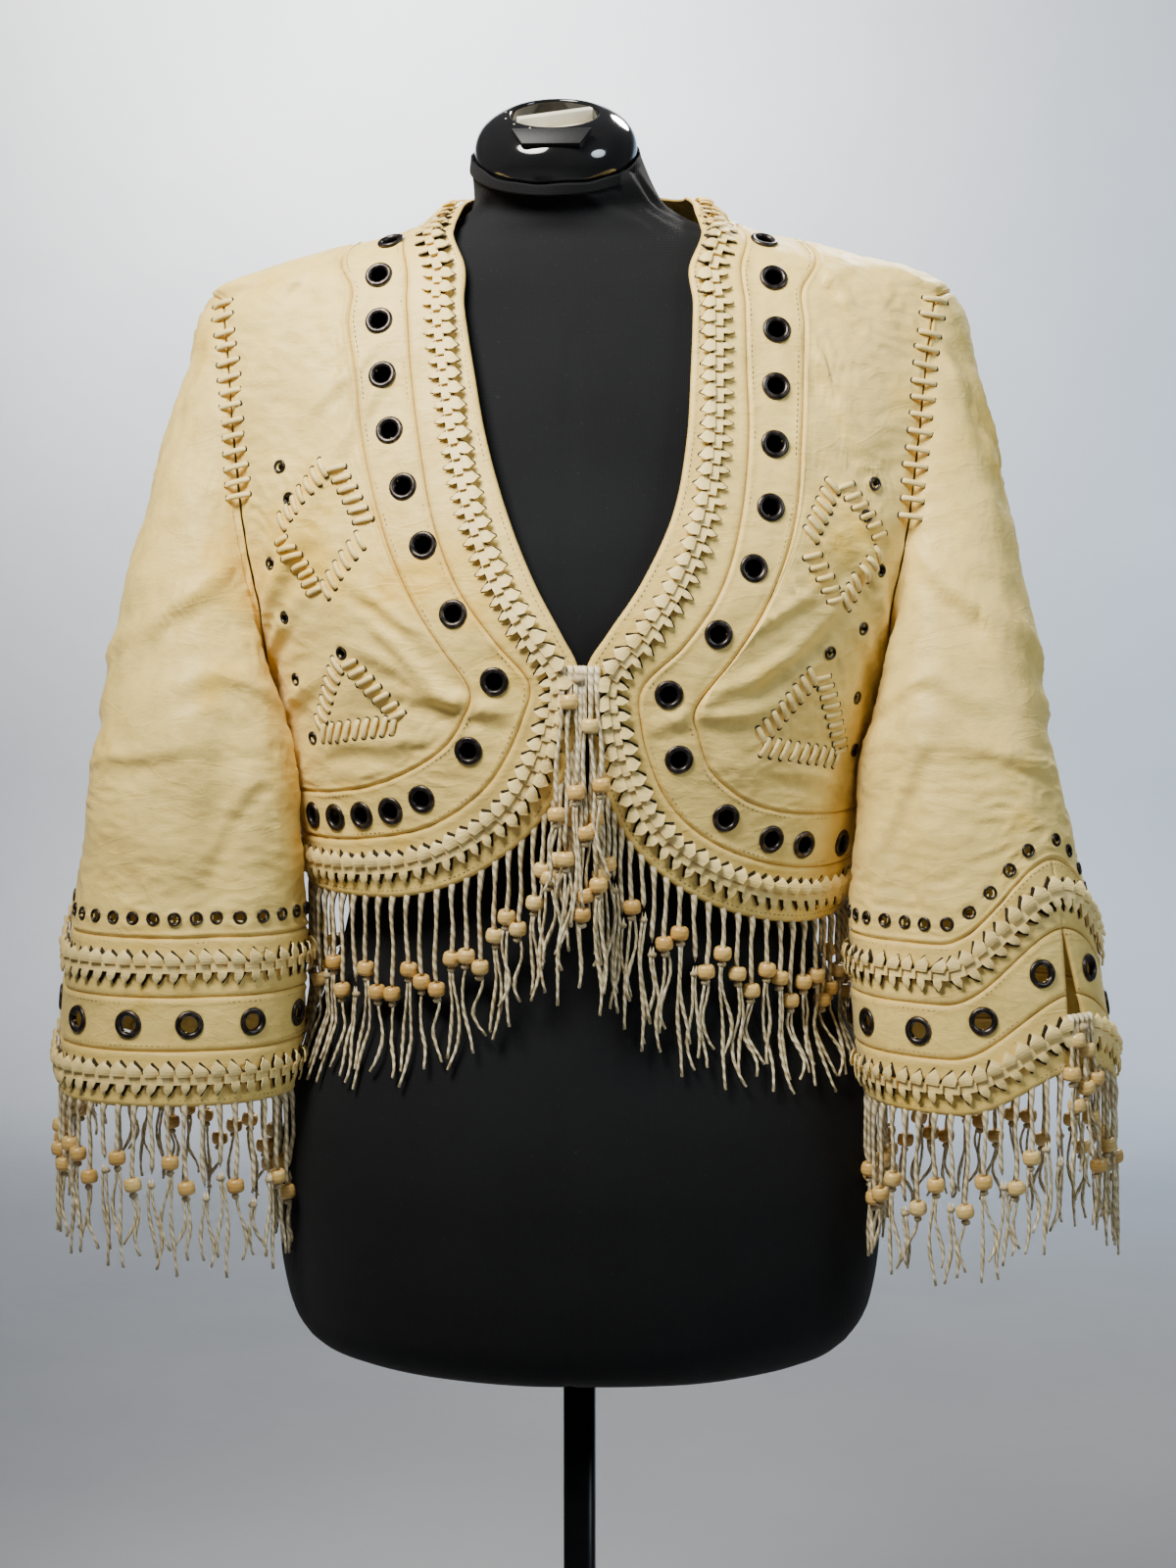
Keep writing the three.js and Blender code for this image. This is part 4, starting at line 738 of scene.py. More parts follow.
def plain(name, light, dark, roughness, scale, metallic=0.0, coat=0.0, grain=0.15, depth=0.0003,
          specular=0.5):
    """Two close shades and a fine uneven surface, for thread, plastic and paint."""
    material, tree, shader = finish(name, roughness=roughness, metallic=metallic, coat=coat, specular=specular)
    uneven = pattern(tree, "ShaderNodeTexNoise", scale, Detail=5)
    tree.links.new(ramp(tree, uneven.outputs["Fac"], (0.35, dark), (0.65, light)),
                   shader.inputs["Base Color"])
    bumps(tree, shader, (uneven.outputs["Fac"], grain, depth))
    return material


def jersey_knit():
    """Black jersey: fine ribs of loops and a little lint."""
    material, tree, shader = finish("Black jersey", roughness=0.9, sheen=0.03, specular=0.22)
    ribs = pattern(tree, "ShaderNodeTexWave", 260, bands_direction="X", Distortion=0.6)
    rows = pattern(tree, "ShaderNodeTexWave", 330, bands_direction="Z", Distortion=0.8)
    lint = pattern(tree, "ShaderNodeTexNoise", 520, Detail=3)
    tone = pattern(tree, "ShaderNodeTexNoise", 6, Detail=4)
    colour = ramp(tree, tone.outputs["Fac"], (0.35, (0.0030, 0.0032, 0.0040)),
                  (0.65, (0.0062, 0.0066, 0.0080)))
    specks = ramp(tree, lint.outputs["Fac"], (0.68, (0, 0, 0)), (0.78, (0.025, 0.025, 0.026)))
    tree.links.new(blend(tree, "ADD", 0.5, colour, specks), shader.inputs["Base Color"])
    bumps(tree, shader, (rows.outputs["Fac"], 0.25, 0.0003), (ribs.outputs["Fac"], 0.3, 0.0003),
          (lint.outputs["Fac"], 0.2, 0.0003))
    return material


CREAM = (0.900, 0.660, 0.190)
WARM = (0.860, 0.560, 0.090)
SHADE = (0.750, 0.555, 0.165)
leather = lambskin("Cream lambskin", CREAM, WARM, SHADE)
braid_leather = lambskin("Braid leather", (0.88, 0.68, 0.27), (0.86, 0.62, 0.17), (0.72, 0.56, 0.22),
                         grain=0.2, has_seams=False)
thong = thong_leather()
wood = bead_wood()
bronze = eyelet_metal()
# Painted shadow: a near-black finish for the dark wedges in the braid's slits and the flat lumps in the whip
# stitches' holes
painted_slit_shadow = plain("Slit shadow", (0.045, 0.033, 0.018), (0.02, 0.015, 0.009), 0.9, 200)
thread = plain("Stitching thread", (0.27, 0.21, 0.10), (0.17, 0.13, 0.06), 0.7, 900)
jersey = jersey_knit()
cap_gloss = plain("Polished black cap", (0.0065, 0.0065, 0.007), (0.004, 0.004, 0.0045), 0.09, 30, coat=0.6,
                  grain=0.02)
recess_matt = plain("Matt black plate", (0.010, 0.0105, 0.012), (0.006, 0.0065, 0.007), 0.5, 600,
                    specular=0.25)
dial_cream = plain("Cream dial plastic", (0.76, 0.71, 0.58), (0.66, 0.60, 0.46), 0.36, 60, coat=0.1,
                   grain=0.06)
pole_black = plain("Satin black pole", (0.012, 0.012, 0.013), (0.007, 0.007, 0.008), 0.34, 90, metallic=0.4,
                   grain=0.05)
base_black = plain("Satin black base", (0.014, 0.014, 0.015), (0.008, 0.008, 0.009), 0.42, 70, metallic=0.4,
                   grain=0.08)


# Eyelet places
def on_body(places, side):
    return [body(np.array([side * turn]), np.array([z]))[0] for turn, z in places]


def body_matrix(turn, z, spin=0.0):
    """Frame on the body whose X points along the rising turn, turned by spin."""
    e = 0.4
    spots = body(np.array([turn - e, turn + e, turn, turn, turn]), np.array([z, z, z - e, z + e, z]))
    along_x = Vector(spots[1] - spots[0]).normalized()
    up = Vector(spots[3] - spots[2])
    return frame_of(Vector(spots[4]), along_x, along_x.cross(up).normalized()) @ Matrix.Rotation(spin, 4, "Z")


def tube_matrix(side, turn, z):
    e = 0.8
    spots = tube(side, np.array([turn - e, turn + e, turn, turn, turn]), np.array([z, z, z - e, z + e, z]))
    along_x = Vector(spots[1] - spots[0]).normalized()
    out = along_x.cross(Vector(spots[3] - spots[2])).normalized() * side
    return frame_of(Vector(spots[4]), along_x, out)


def cuff_spots(side):
    """Turn and height of each large eyelet of a cuff."""
    turns = vent_turn(side) + 15 + 30 * np.arange(12)
    return [(t, float(cuff_height(side, 1.5, t))) for t in turns]


def row_spots(side):
    """Turn and height of the small eyelets above a cuff."""
    turns = vent_turn(side) + 5.5 + 11 * np.arange(32)
    return [(t, float(cuff_height(side, 0, t)) + 11) for t in turns]


PANEL_SPOTS = {
    -1: ((63, 1104), (60.5, 1086), (64, 1050), (62, 1020), (49, 1001), (63, 985), (61, 952)),
    1: ((64, 1094), (62, 1076), (65, 1046), (63, 1014), (56, 1001), (66, 975), (69, 945)),
}
LOZENGES = {
    -1: ((54, 1108), (44.5, 1068), (53, 1030), (62, 1068)),
    1: ((58, 1098), (50.5, 1060), (57, 1024), (65, 1060)),
}
TRIANGLES = {
    -1: ((49, 1000), (37, 962), (59, 955)),
    1: ((54, 993), (42, 951), (65, 940)),
}


# Each crease: turn, height, lean, length, width and depth
def crease(side, turn, z, lean, length, width, height):
    return (body(np.array([side * turn]), np.array([z]))[0], math.radians(lean), length, width, 1.35 * height)


FRONT_CREASES = {
    -1: [(27, 972, -6, 34, 6, 2.4), (34, 984, -24, 36, 6, 2.0), (36, 998, -38, 30, 5, 1.8),
         (44, 948, 8, 40, 7, 1.6), (50, 1128, 62, 40, 6, 1.8), (55, 1150, 48, 30, 5, 1.5),
         (58, 1062, 70, 44, 6, 1.4), (64, 1030, 50, 46, 7, 1.8), (67, 1005, 38, 40, 6, 1.7),
         (62, 975, 28, 34, 6, 1.5), (72, 1130, 78, 34, 5, 1.3), (80, 1205, 20, 30, 5, 1.6),
         (70, 1208, 55, 26, 5, 1.4), (40, 1024, -30, 28, 5, 1.3), (70, 940, 80, 20, 5, 1.2)],
    1: [(34, 965, 10, 36, 6, 2.0), (38, 982, 28, 34, 6, 1.8), (48, 1000, 42, 40, 6, 1.6),
        (56, 930, -8, 36, 7, 1.5), (60, 1132, -60, 40, 6, 1.6), (58, 1160, -44, 30, 5, 1.4),
        (62, 1050, -66, 44, 6, 1.5), (67, 1020, -52, 46, 7, 1.7), (70, 990, -36, 40, 6, 1.6),
        (74, 955, -62, 34, 6, 1.6), (74, 1128, -80, 34, 5, 1.3), (80, 1204, -20, 30, 5, 1.5),
        (46, 1022, 34, 28, 5, 1.2), (80, 925, -75, 22, 5, 1.2), (66, 1206, -52, 26, 5, 1.4)],
}
BACK_CREASES = [(-1, 160, 1190, 15, 60, 8, 1.2), (1, 150, 1185, -18, 60, 8, 1.3),
                (1, 118, 1090, 60, 50, 8, 1.6),
                (-1, 120, 1095, -58, 50, 8, 1.6), (1, 112, 1020, 40, 44, 7, 1.5),
                (-1, 112, 1015, -40, 44, 7, 1.5), (1, 172, 960, 4, 60, 8, 1.1),
                (-1, 150, 975, -8, 50, 8, 1.1)]


def sleeve_creases(side):
    """Creases that run from the armpit and across the elbow."""
    rows = ((60, 1000, 30, 46, 8, 2.0), (20, 1020, 44, 44, 7, 2.0), (-10, 985, 24, 40, 7, 1.8),
            (90, 960, 14, 46, 8, 1.6), (30, 940, 10, 36, 6, 1.4), (130, 980, -30, 46, 8, 1.7),
            (160, 940, -12, 40, 7, 1.5), (75, 1100, 72, 54, 8, 1.5), (45, 1130, 66, 40, 7, 1.4),
            (110, 1080, -70, 50, 8, 1.4), (200, 960, 20, 36, 6, 1.4), (-35, 920, 62, 40, 6, 1.4))
    made = []
    for turn, z, lean, length, width, height in rows:
        above = max(z - SLEEVE_TOP, 0)
        centre = tube(side, np.array([float(turn)]), np.array([z - above]))[0]
        centre = centre + (-side * 0.22 * above, 0.28 * above, above)
        made.append((centre, math.radians(side * -lean), length, width, 1.5 * height))
    return made


# Leather pieces
TAGS = {-1: "l", 1: "r"}
lanes = {}
small_eyelets = []
large_eyelets = []

for side, tag in TAGS.items():
    eyelets = EYELETS_L if side < 0 else EYELETS_R
    lanes["edge_" + tag] = (front_lane(side, "edge", "mid"), from_axis)
    lanes["band_" + tag] = (front_lane(side, "mid", "panel"), from_axis)
    creases = [crease(side, *row) for row in FRONT_CREASES[side]]
    spots = on_body(eyelets, side)
    small = on_body(PANEL_SPOTS[side], side)
    piece = panel("edge_band_leather_" + tag, leather, *lanes["edge_" + tag], 360, 16, crinkle=0.35,
                  pucker=0.35, seed=side * 3)
    settle(piece, "leather", "edge_band_" + tag)
    piece = panel("eyelet_band_leather_" + tag, leather, *lanes["band_" + tag], 340, 20, spots=spots,
                  creases=creases, crinkle=0.8, pucker=0.7, seed=side * 5)
    settle(piece, "leather", "eyelet_band_" + tag)
    piece = panel("front_leather_" + tag, leather, front_panel(side), from_axis, 170, 84, small_spots=small,
                  creases=creases, crinkle=1.25, pucker=0.8, seed=side * 7)
    settle(piece, "leather", "front_panel_" + tag)
    large_eyelets += [body_matrix(side * turn, z) for turn, z in eyelets]
    small_eyelets += [body_matrix(side * turn, z) for turn, z in PANEL_SPOTS[side]]

    out = from_sleeve(side)
    row = [tube(side, np.array([t]), np.array([z]))[0] for t, z in row_spots(side)]
    piece = panel("sleeve_leather_" + tag, leather, sleeve(side), out, 170, 130, small_spots=row,
                  creases=sleeve_creases(side), is_ring=True, crinkle=1.35, pucker=0.7, seed=side * 11)
    settle(piece, "leather", "sleeve_upper_" + tag, "sleeve_lower_" + tag)
    cuff_eyelets = [tube(side, np.array([t]), np.array([z]))[0] for t, z in cuff_spots(side)]
    lanes["cuff_upper_" + tag] = (cuff_lane(side, 0, 1), out)
    lanes["cuff_middle_" + tag] = (cuff_lane(side, 1, 2), out)
    lanes["cuff_lower_" + tag] = (cuff_lane(side, 2, 3), out)
    piece = panel("cuff_upper_leather_" + tag, leather, *lanes["cuff_upper_" + tag], 168, 14, is_ring=True,
                  crinkle=0.4, seed=side * 13)
    settle(piece, "leather", "cuff_upper_" + tag)
    piece = panel("cuff_eyelet_leather_" + tag, leather, *lanes["cuff_middle_" + tag], 200, 15,
                  spots=cuff_eyelets, crinkle=0.4, seed=side * 17)
    settle(piece, "leather", "cuff_eyelet_one_" + tag, "cuff_eyelet_two_" + tag)
    piece = panel("cuff_lower_leather_" + tag, leather, *lanes["cuff_lower_" + tag], 168, 14, crinkle=0.4,
                  seed=side * 19)
    settle(piece, "leather", "cuff_lower_" + tag)
    large_eyelets += [tube_matrix(side, t, z) for t, z in cuff_spots(side)]
    small_eyelets += [tube_matrix(side, t, z) for t, z in row_spots(side)]

lanes["edge_neck"] = (back_lane(neck_seam, "edge", "mid"), from_axis)
lanes["band_neck"] = (back_lane(neck_seam, "mid", "panel"), from_axis)
lanes["edge_hem"] = (back_lane(hem_seam, "edge", "mid"), from_axis)
lanes["band_hem"] = (back_lane(hem_seam, "mid", "panel"), from_axis)


def back_spots(seam_of, count):
    shares = (np.arange(count) + 0.5) / count
    low, high = seam_of("mid", shares), seam_of("panel", shares)
    return [(turn, (a + b) / 2) for turn, a, b in zip(low[0], low[1], high[1])]


back_creases = [crease(*row) for row in BACK_CREASES]
piece = panel("back_leather", leather, back_panel, from_axis, 190, 150, creases=back_creases, crinkle=0.8,
              pucker=0.5, seed=2)
settle(piece, "leather", "back_panel")
for part, count, seam_of, width in (("neck", 6, neck_seam, 110), ("hem", 11, hem_seam, 180)):
    places = back_spots(seam_of, count)
    piece = panel("edge_band_leather_" + part, leather, *lanes["edge_" + part], width, 14, crinkle=0.35,
                  seed=4)
    settle(piece, "leather", "edge_band_" + part)
    piece = panel("eyelet_band_leather_" + part, leather, *lanes["band_" + part], width, 16,
                  spots=on_body(places, 1), crinkle=0.45, seed=6)
    settle(piece, "leather", "eyelet_band_" + part)
    large_eyelets += [body_matrix(turn, z) for turn, z in places]


# Metal eyelets
def eyelets(name, matrices, scale, steps):
    profile = ((4.7, -2.3), (4.7, 0.3), (5.3, 1.15), (6.4, 1.5), (7.5, 1.1), (8.0, 0.2), (7.6, -0.2),
               (5.4, -0.3), (5.4, -2.3))
    ring = turned("ring", [(r * scale, h * (0.5 + scale / 2)) for r, h in profile], steps)
    bm = bmesh.new()
    for matrix in matrices:
        copy_into(bm, ring, matrix)
    piece = bits_object(name, bm, [bronze])
    settle(piece, "pole")


eyelets("large_eyelets", large_eyelets, 1.0, 26)
eyelets("small_eyelets", small_eyelets, 0.5, 16)


# Stitching
def scatter(name, mesh, matrices, materials):
    """Many copies of one small mesh, joined."""
    size = len(mesh.vertices)
    shape = [Vector(vert.co) for vert in mesh.vertices]
    bm = bmesh.new()
    bm.from_mesh(mesh)
    while len(bm.verts) < size * len(matrices):
        bmesh.ops.duplicate(bm, geom=bm.verts[:] + bm.edges[:] + bm.faces[:])
    bmesh.ops.delete(bm, geom=bm.verts[:][size * len(matrices):], context="VERTS")
    for k, vert in enumerate(bm.verts):
        vert.co = matrices[k // size] @ shape[k % size]
    return bits_object(name, bm, materials)


def stitch_row(lane, inset, is_upper=False):
    return [frame_at(*lane, u, v)
            for u, v in evenly(lane[0], STITCH_PITCH, inset=inset, is_upper=is_upper)]


rows = []
for tag in ("l", "r", "neck", "hem"):
    rows += stitch_row(lanes["edge_" + tag], 4.0)
    rows += stitch_row(lanes["band_" + tag], 3.2) + stitch_row(lanes["band_" + tag], 3.2, True)
for tag in TAGS.values():
    rows += stitch_row(lanes["cuff_middle_" + tag], 3.2) + stitch_row(lanes["cuff_middle_" + tag], 3.2, True)
    rows += stitch_row(lanes["cuff_lower_" + tag], 3.6, True) + stitch_row(lanes["cuff_upper_" + tag], 2.8)
rows = [matrix @ Matrix.Translation((0, 0.13 * vary(i), 0)) for i, matrix in enumerate(rows)]
piece = scatter("seam_stitches", lump("stitch", (1.0, 0.36, 0.3)), rows, [thread])
settle(piece, "thong")


# Braid: a chain of tabs down the middle, each with an ear pulled through a slit on either side
def braid(name, lane, nodes, seed, ears):
    """Ears gives the size of the ears towards either rim, from 0 to 1, at a share of the way along."""
    place, out = lane
    chain, slit_shade_sheets = bmesh.new(), bmesh.new()
    for k, (u, v) in enumerate(evenly(place, BRAID_PITCH)):
        matrix = frame_at(place, out, u, v)
        rims = place(np.array([u, u]), np.array([0.0, 1.0]))
        reach_out = min(9.6, 0.37 * float(np.linalg.norm(rims[1] - rims[0])))
        up = 1 if (matrix.to_3x3() @ Vector((0, 1, 0))).dot(Vector(rims[1] - rims[0])) > 0 else -1
        skew, lift = 0.4 * vary(seed + k), 0.35 * vary(seed + k + 0.5)

        def tab(x, y):
            """Flat link of the chain; its end lies on the start of the next."""
            t = x + 0.5
            rise = 0.7 + (3.0 + lift) * t ** 0.8 - 2.0 * max(0, t - 0.86)
            return (t * 11.2 - 5.2, y * (5.8 - 0.8 * t) + skew * (1 - t), rise)

        bit(chain, matrix, 5, 2, tab)
        for flank in (-1, 1):
            size = ears(u)[1 if flank * up > 0 else 0]
            length = (reach_out - 2.4) * (0.80 + 0.28 * size) * (1 + 0.10 * vary(seed + k * 7 + flank))
            width = (3.0 + 5.0 * size ** 2) * (1 + 0.08 * vary(seed + k * 5 + flank))
            slope = 2.6 * size + 0.9 * vary(seed + k * 3 + flank)
            height = 0.6 + (2.0 + 0.7 * vary(seed + k * 11 + flank)) * size

            def ear(x, y):
                """Folded flap: broad at the chain, its point leaning along it, one side lifted."""
                t = y + 0.5
                half = x * (width * (1 - smooth((t - 0.45) / 0.55)) ** 0.8 + 0.25)
                arch = height * math.sin(math.pi * (0.2 + 0.62 * t))
                tilt = (0.3 + 2.4 * size) * (x + 0.5) * (1 - 0.6 * t)
                return (slope * t + half - 0.6, flank * (1.9 + t * length), 0.7 + arch + tilt)

            def slit(x, y):
                """Painted shadow: a dark wedge for the shade in the slit that the ear was pulled through."""
                t = y + 0.5
                half = x * ((width * 0.9 + 2.4) * (1 - t) + 0.9)
                return (slope * t + half - 1.1 - 0.9 * size, flank * (2.4 + t * (length + 0.1)), 0.32)

            bit(chain, matrix, 3, 5, ear)
            bit(slit_shade_sheets, matrix, 1, 2, slit)
    piece = bits_object(name, chain, [braid_leather], smooth_faces=False)
    thicken(piece, 0.8, 0)
    settle(piece, "braid", *nodes)
    # The slit wedges are painted shadow, a dark sheet just above the band
    settle(bits_object(name + "_slit_shade", slit_shade_sheets, [painted_slit_shadow]), "braid")


def front_ears(u):
    """Large ears at the free edge of the opening, and away from it along the hem."""
    low = float(smooth((u - 0.48) / 0.14))
    return 1.0 - 0.5 * float(smooth((u - 0.62) / 0.12)), 0.32 + 0.68 * low


def neck_ears(u):
    return front_ears(0)


def hem_ears(u):
    return front_ears(1)


def cuff_ears(u):
    return 1.0, 0.55


for k, tag in enumerate(TAGS.values()):
    braid("braided_edge_" + tag, lanes["edge_" + tag], ["braid_" + tag], 10 + 40 * k, front_ears)
    braid("braided_cuff_upper_" + tag, lanes["cuff_upper_" + tag], ["cuff_braid_upper_" + tag], 20 + 40 * k,
          cuff_ears)
    braid("braided_cuff_lower_" + tag, lanes["cuff_lower_" + tag], ["cuff_braid_lower_" + tag], 30 + 40 * k,
          cuff_ears)
braid("braided_neck", lanes["edge_neck"], ["braid_neck"], 120, neck_ears)
braid("braided_hem", lanes["edge_hem"], ["braid_hem"], 130, hem_ears)


# Whip stitches of leather thong
whips = bmesh.new()
whip_hole_shade = []


def whip(start, end, out, width=3.0, rise=1.7):
    """One stitch of thong from a hole over to another."""
    start, end = on_leather(start), on_leather(end)
    along_x = (end - start).normalized()
    side = out.cross(along_x).normalized()
    middle = start.lerp(end, 0.5)
    bed = max(0.0, (on_leather(middle + out * 4) - middle).dot(out))

    def shape(x, y):
        t = (1 - math.cos(math.pi * (x + 0.5))) / 2
        half = width * (1 - 0.3 * abs(2 * t - 1) ** 6)
        lift = rise * math.sin(math.pi * t) ** 0.35 + bed * math.sin(math.pi * t) - 0.5 - 1.6 * y * y
        return start.lerp(end, t) + out * lift + side * (y * half + 0.4 * t * t)

    bit(whips, Matrix.Identity(4), 10, 2, shape)
    for place in (start, end):
        whip_hole_shade.append(frame_of(place + out * 0.2, along_x, out))


def armhole_whips(side, count, high, low):
    """Stitches over the front armhole seam, from the shoulder down, half on the panel and half on the sleeve."""
    sleeve_place = sleeve(side)
    columns, shares = np.meshgrid(np.linspace(0, 0.4, 150), np.linspace(0, 0.3, 70))
    cap = sleeve_place(columns.ravel(), shares.ravel())
    for i in range(count):
        z = high + (low - high) * i / (count - 1)
        place = float(np.interp(-z, -ARMHOLE["z"], range(ARM_STEPS + 1)))
        turn, height = (float(value[0]) for value in armhole(side, np.array([place])))
        seam = Vector(body(np.array([turn]), np.array([height]))[0])
        turns = turn - side * np.linspace(0, 12, 60)
        panel_row = body(turns, np.full(60, height + 1.2))
        near = Vector(panel_row[np.argmin(np.abs(np.abs(panel_row[:, 0] - seam.x) - 7.2))])
        goal = np.array([seam.x + side * 6.2, height - 1.6])
        far = Vector(cap[np.argmin(np.hypot(cap[:, 0] - goal[0], cap[:, 2] - goal[1]))])
        out = (Vector((0, -1, 0.1)) + Vector((seam.x, 0, 0)).normalized() * 0.55).normalized()
        whip(near, far, out, rise=1.8)


def outline_whips(side, corners, pitch=6.4, reach_over=5.6):
    """Stitches across the lines of a laced figure."""
    spots = [(side * turn, z) for turn, z in corners]
    for (turn_a, z_a), (turn_b, z_b) in zip(spots, spots[1:] + spots[:1]):
        a, b = (body(np.array([t]), np.array([z]))[0] for t, z in ((turn_a, z_a), (turn_b, z_b)))
        length = float(np.linalg.norm(b - a))
        count = max(2, round((length - 7) / pitch))
        for i in range(count):
            t = (3.5 + (length - 7) * (i + 0.5) / count) / length
            turn, z = turn_a + (turn_b - turn_a) * t, z_a + (z_b - z_a) * t
            matrix = body_matrix(turn, z)
            line = (Vector(b - a)).normalized()
            out = (matrix.to_3x3() @ Vector((0, 0, 1))).normalized()
            across = (out.cross(line).normalized() + line * 0.38).normalized()
            middle = matrix.translation
            whip(middle - across * reach_over, middle + across * reach_over, out, rise=1.9)


armhole_whips(-1, 14, 1198, 1088)
armhole_whips(1, 14, 1198, 1076)
for side in TAGS:
    outline_whips(side, LOZENGES[side])
    outline_whips(side, TRIANGLES[side])
piece = bits_object("whip_stitches", whips, [braid_leather])
thicken(piece, 1.1, 0)
settle(piece, "thong")
# Painted shade: a flat dark lump at each end of a whip stitch stands for the shade inside its hole
piece = scatter("whip_hole_shade", lump("hole", (1.5, 2.0, 0.25)), whip_hole_shade, [painted_slit_shadow])
settle(piece, "braid")


# Fringe
def strand(bm, path, widths, sides=5, twist=0.55):
    """A twisted thong along a path; its section is flatter than it is wide."""
    rings = len(path) - 1
    uv = bm.loops.layers.uv.verify()
    made = bmesh.ops.create_grid(bm, x_segments=rings, y_segments=sides, size=0.5)["verts"]
    run = [0.0]
    for a, b in zip(path, path[1:]):
        run.append(run[-1] + (b - a).length)
    winding = {}
    for vert in made:
        k, angle = round((vert.co.x + 0.5) * rings), (vert.co.y + 0.5) * 2 * math.pi
        winding[vert] = (run[k] / GROOVE_RUN * GROOVE_REPEAT, (vert.co.y + 0.5) * 2 * GROOVE_REPEAT)
        ahead = (path[min(k + 1, rings)] - path[max(k - 1, 0)]).normalized()
        side = ahead.cross(Vector((0.31, 1, 0.12))).normalized()
        other = ahead.cross(side)
        half = widths[k] / 2 * (0 if k in (0, rings) else 1)
        flat = side * math.cos(angle) * half + other * math.sin(angle) * half * 0.75
        spin = Matrix.Rotation(twist * k, 3, ahead)
        vert.co = path[k] + spin @ flat
    for face in {face for vert in made for face in vert.link_faces}:
        for loop in face.loops:
            loop[uv].uv = winding[loop.vert]


def clear_of_form(point, gap):
    """Moves a point straight out of the padded torso until it has its gap."""
    turn = math.degrees(math.atan2(point.x, AXIS_Y - point.y))
    limit = float(reach(TORSO, np.array([turn]), np.array([point.z]))[0]) + gap
    scale = max(1.0, limit / math.hypot(point.x, point.y - AXIS_Y))
    return Vector((point.x * scale, AXIS_Y + (point.y - AXIS_Y) * scale, point.z))


STRAIGHT = Vector((0, 0, 0))
TAIL_STEPS = 12


def hanging(bm, beads, knots, root, out, tangent, length, bead_at, seed, lean=STRAIGHT, second_bead=None):
    """A thong doubled through a bead: a twisted strand down to it, a knot, and one or two loose curling tails."""
    sway = Vector((3.2 * vary(seed), 2.0 * vary(seed + 31), 0))

    def spot(drop, gap=4.6):
        t = drop / length
        bend = tangent * (0.8 * math.sin(drop / 9 + seed) * min(1, drop / 25))
        return clear_of_form(root + sway * t + lean * t + bend - Vector((0, 0, drop)), gap)

    root = root - out * 0.8
    hidden = [root - out * 1.8 + Vector((0, 0, rise)) for rise in (6.5, 6, 1.5)]
    strand(bm, hidden + [spot(bead_at * k / 9) for k in range(1, 10)], [5, 5, 6.2, 4.4, 3.4] + [2.8] * 7,
           twist=0.3)
    for place in [bead_at] + ([] if second_bead is None else [second_bead]):
        matrix = Matrix.Translation(spot(place, 5.6)) @ Matrix.Rotation(0.16 * vary(seed + 3), 4, "X")
        beads.append(matrix @ Matrix.Rotation(0.2 * vary(seed + 4), 4, "Y"))
    knots.append(Matrix.Translation(spot(bead_at + 6.0)) @ Matrix.Rotation(seed, 4, "Z"))
    tail = length - bead_at
    for pull in (-1, 1) if vary(seed + 2) < 0.35 else (-1,):
        curl = 3.0 + 2.2 * vary(seed + 7 * pull)
        points = []
        share = 1 + 0.08 * vary(seed + pull) - (0.14 if pull > 0 else 0)
        for k in range(TAIL_STEPS + 1):
            t = k / TAIL_STEPS
            drop = bead_at + 1 + tail * share * t
            spreading = pull * (0.8 + (1.3 + 1.6 * vary(seed + 11 * pull)) * t)
            wave = curl * math.sin(t * (5.5 + 2.0 * vary(seed + pull * 3)) + seed * 1.7) * t ** 0.7
            shift = tangent * (spreading + wave) + out * (0.6 + 0.5 * wave * vary(seed + 5))
            points.append(clear_of_form(spot(drop) + shift, 3.2))
        points.append(points[-1] + (points[-1] - points[-2]).normalized() * 0.5)
        strand(bm, points, [2.3] * len(points), sides=4, twist=0.35)


BEAD = ((1.8, -3.3), (3.2, -3.9), (4.4, -3.2), (5.0, -1.4), (5.0, 1.4), (4.4, 3.2), (3.2, 3.9), (1.8, 3.3))
bead_shape = turned("bead", BEAD, 14)
knot_shape = lump("knot", (2.7, 2.3, 1.9), 2)


def strands_object(name, bm, beads, knots, nodes):
    for matrix in knots:
        copy_into(bm, knot_shape, matrix)
    bmesh.ops.remove_doubles(bm, verts=bm.verts, dist=0.002)
    piece = bits_object(name + "_thongs", bm, [thong])
    settle(piece, "thong", *nodes)
    if beads:
        settle(scatter(name + "_beads", bead_shape, beads, [wood]), "thong")


def upright(u):
    return STRAIGHT


def forwards(u):
    """Pulls the strands next to the closure towards the viewer, clear of those behind them."""
    return Vector((0, -9 * float(np.clip((0.66 - u) / 0.14, 0, 1)), 0))


def fringe(name, lane, rim, node_name, length, step, seed, start=0.0, end=1.0, beaded=0.8, lean=upright):
    """Strands a step apart along one rim of a band; beaded is the share of them that has a bead."""
    place, out = lane
    bm, beads, knots = bmesh.new(), [], []
    for i, (u, v) in enumerate(evenly(place, step, v=rim, start=start, end=end)):
        s = seed + i * 1.37
        matrix = frame_at(place, out, u, v)
        outward = (matrix.to_3x3() @ Vector((0, 0, 1))).normalized()
        tangent = matrix.to_3x3() @ Vector((1, 0, 0))
        tangent = Vector((tangent.x, tangent.y, 0)).normalized()
        drop = 24 + 17 * (1 + vary(s + 0.3))
        hanging(bm, beads if vary(s + 9) < 2 * beaded - 1 else [], knots, matrix.translation, outward,
                tangent, length * (1 + 0.1 * vary(s)), drop, s, lean(u))
    strands_object(name, bm, beads, knots, [node_name])


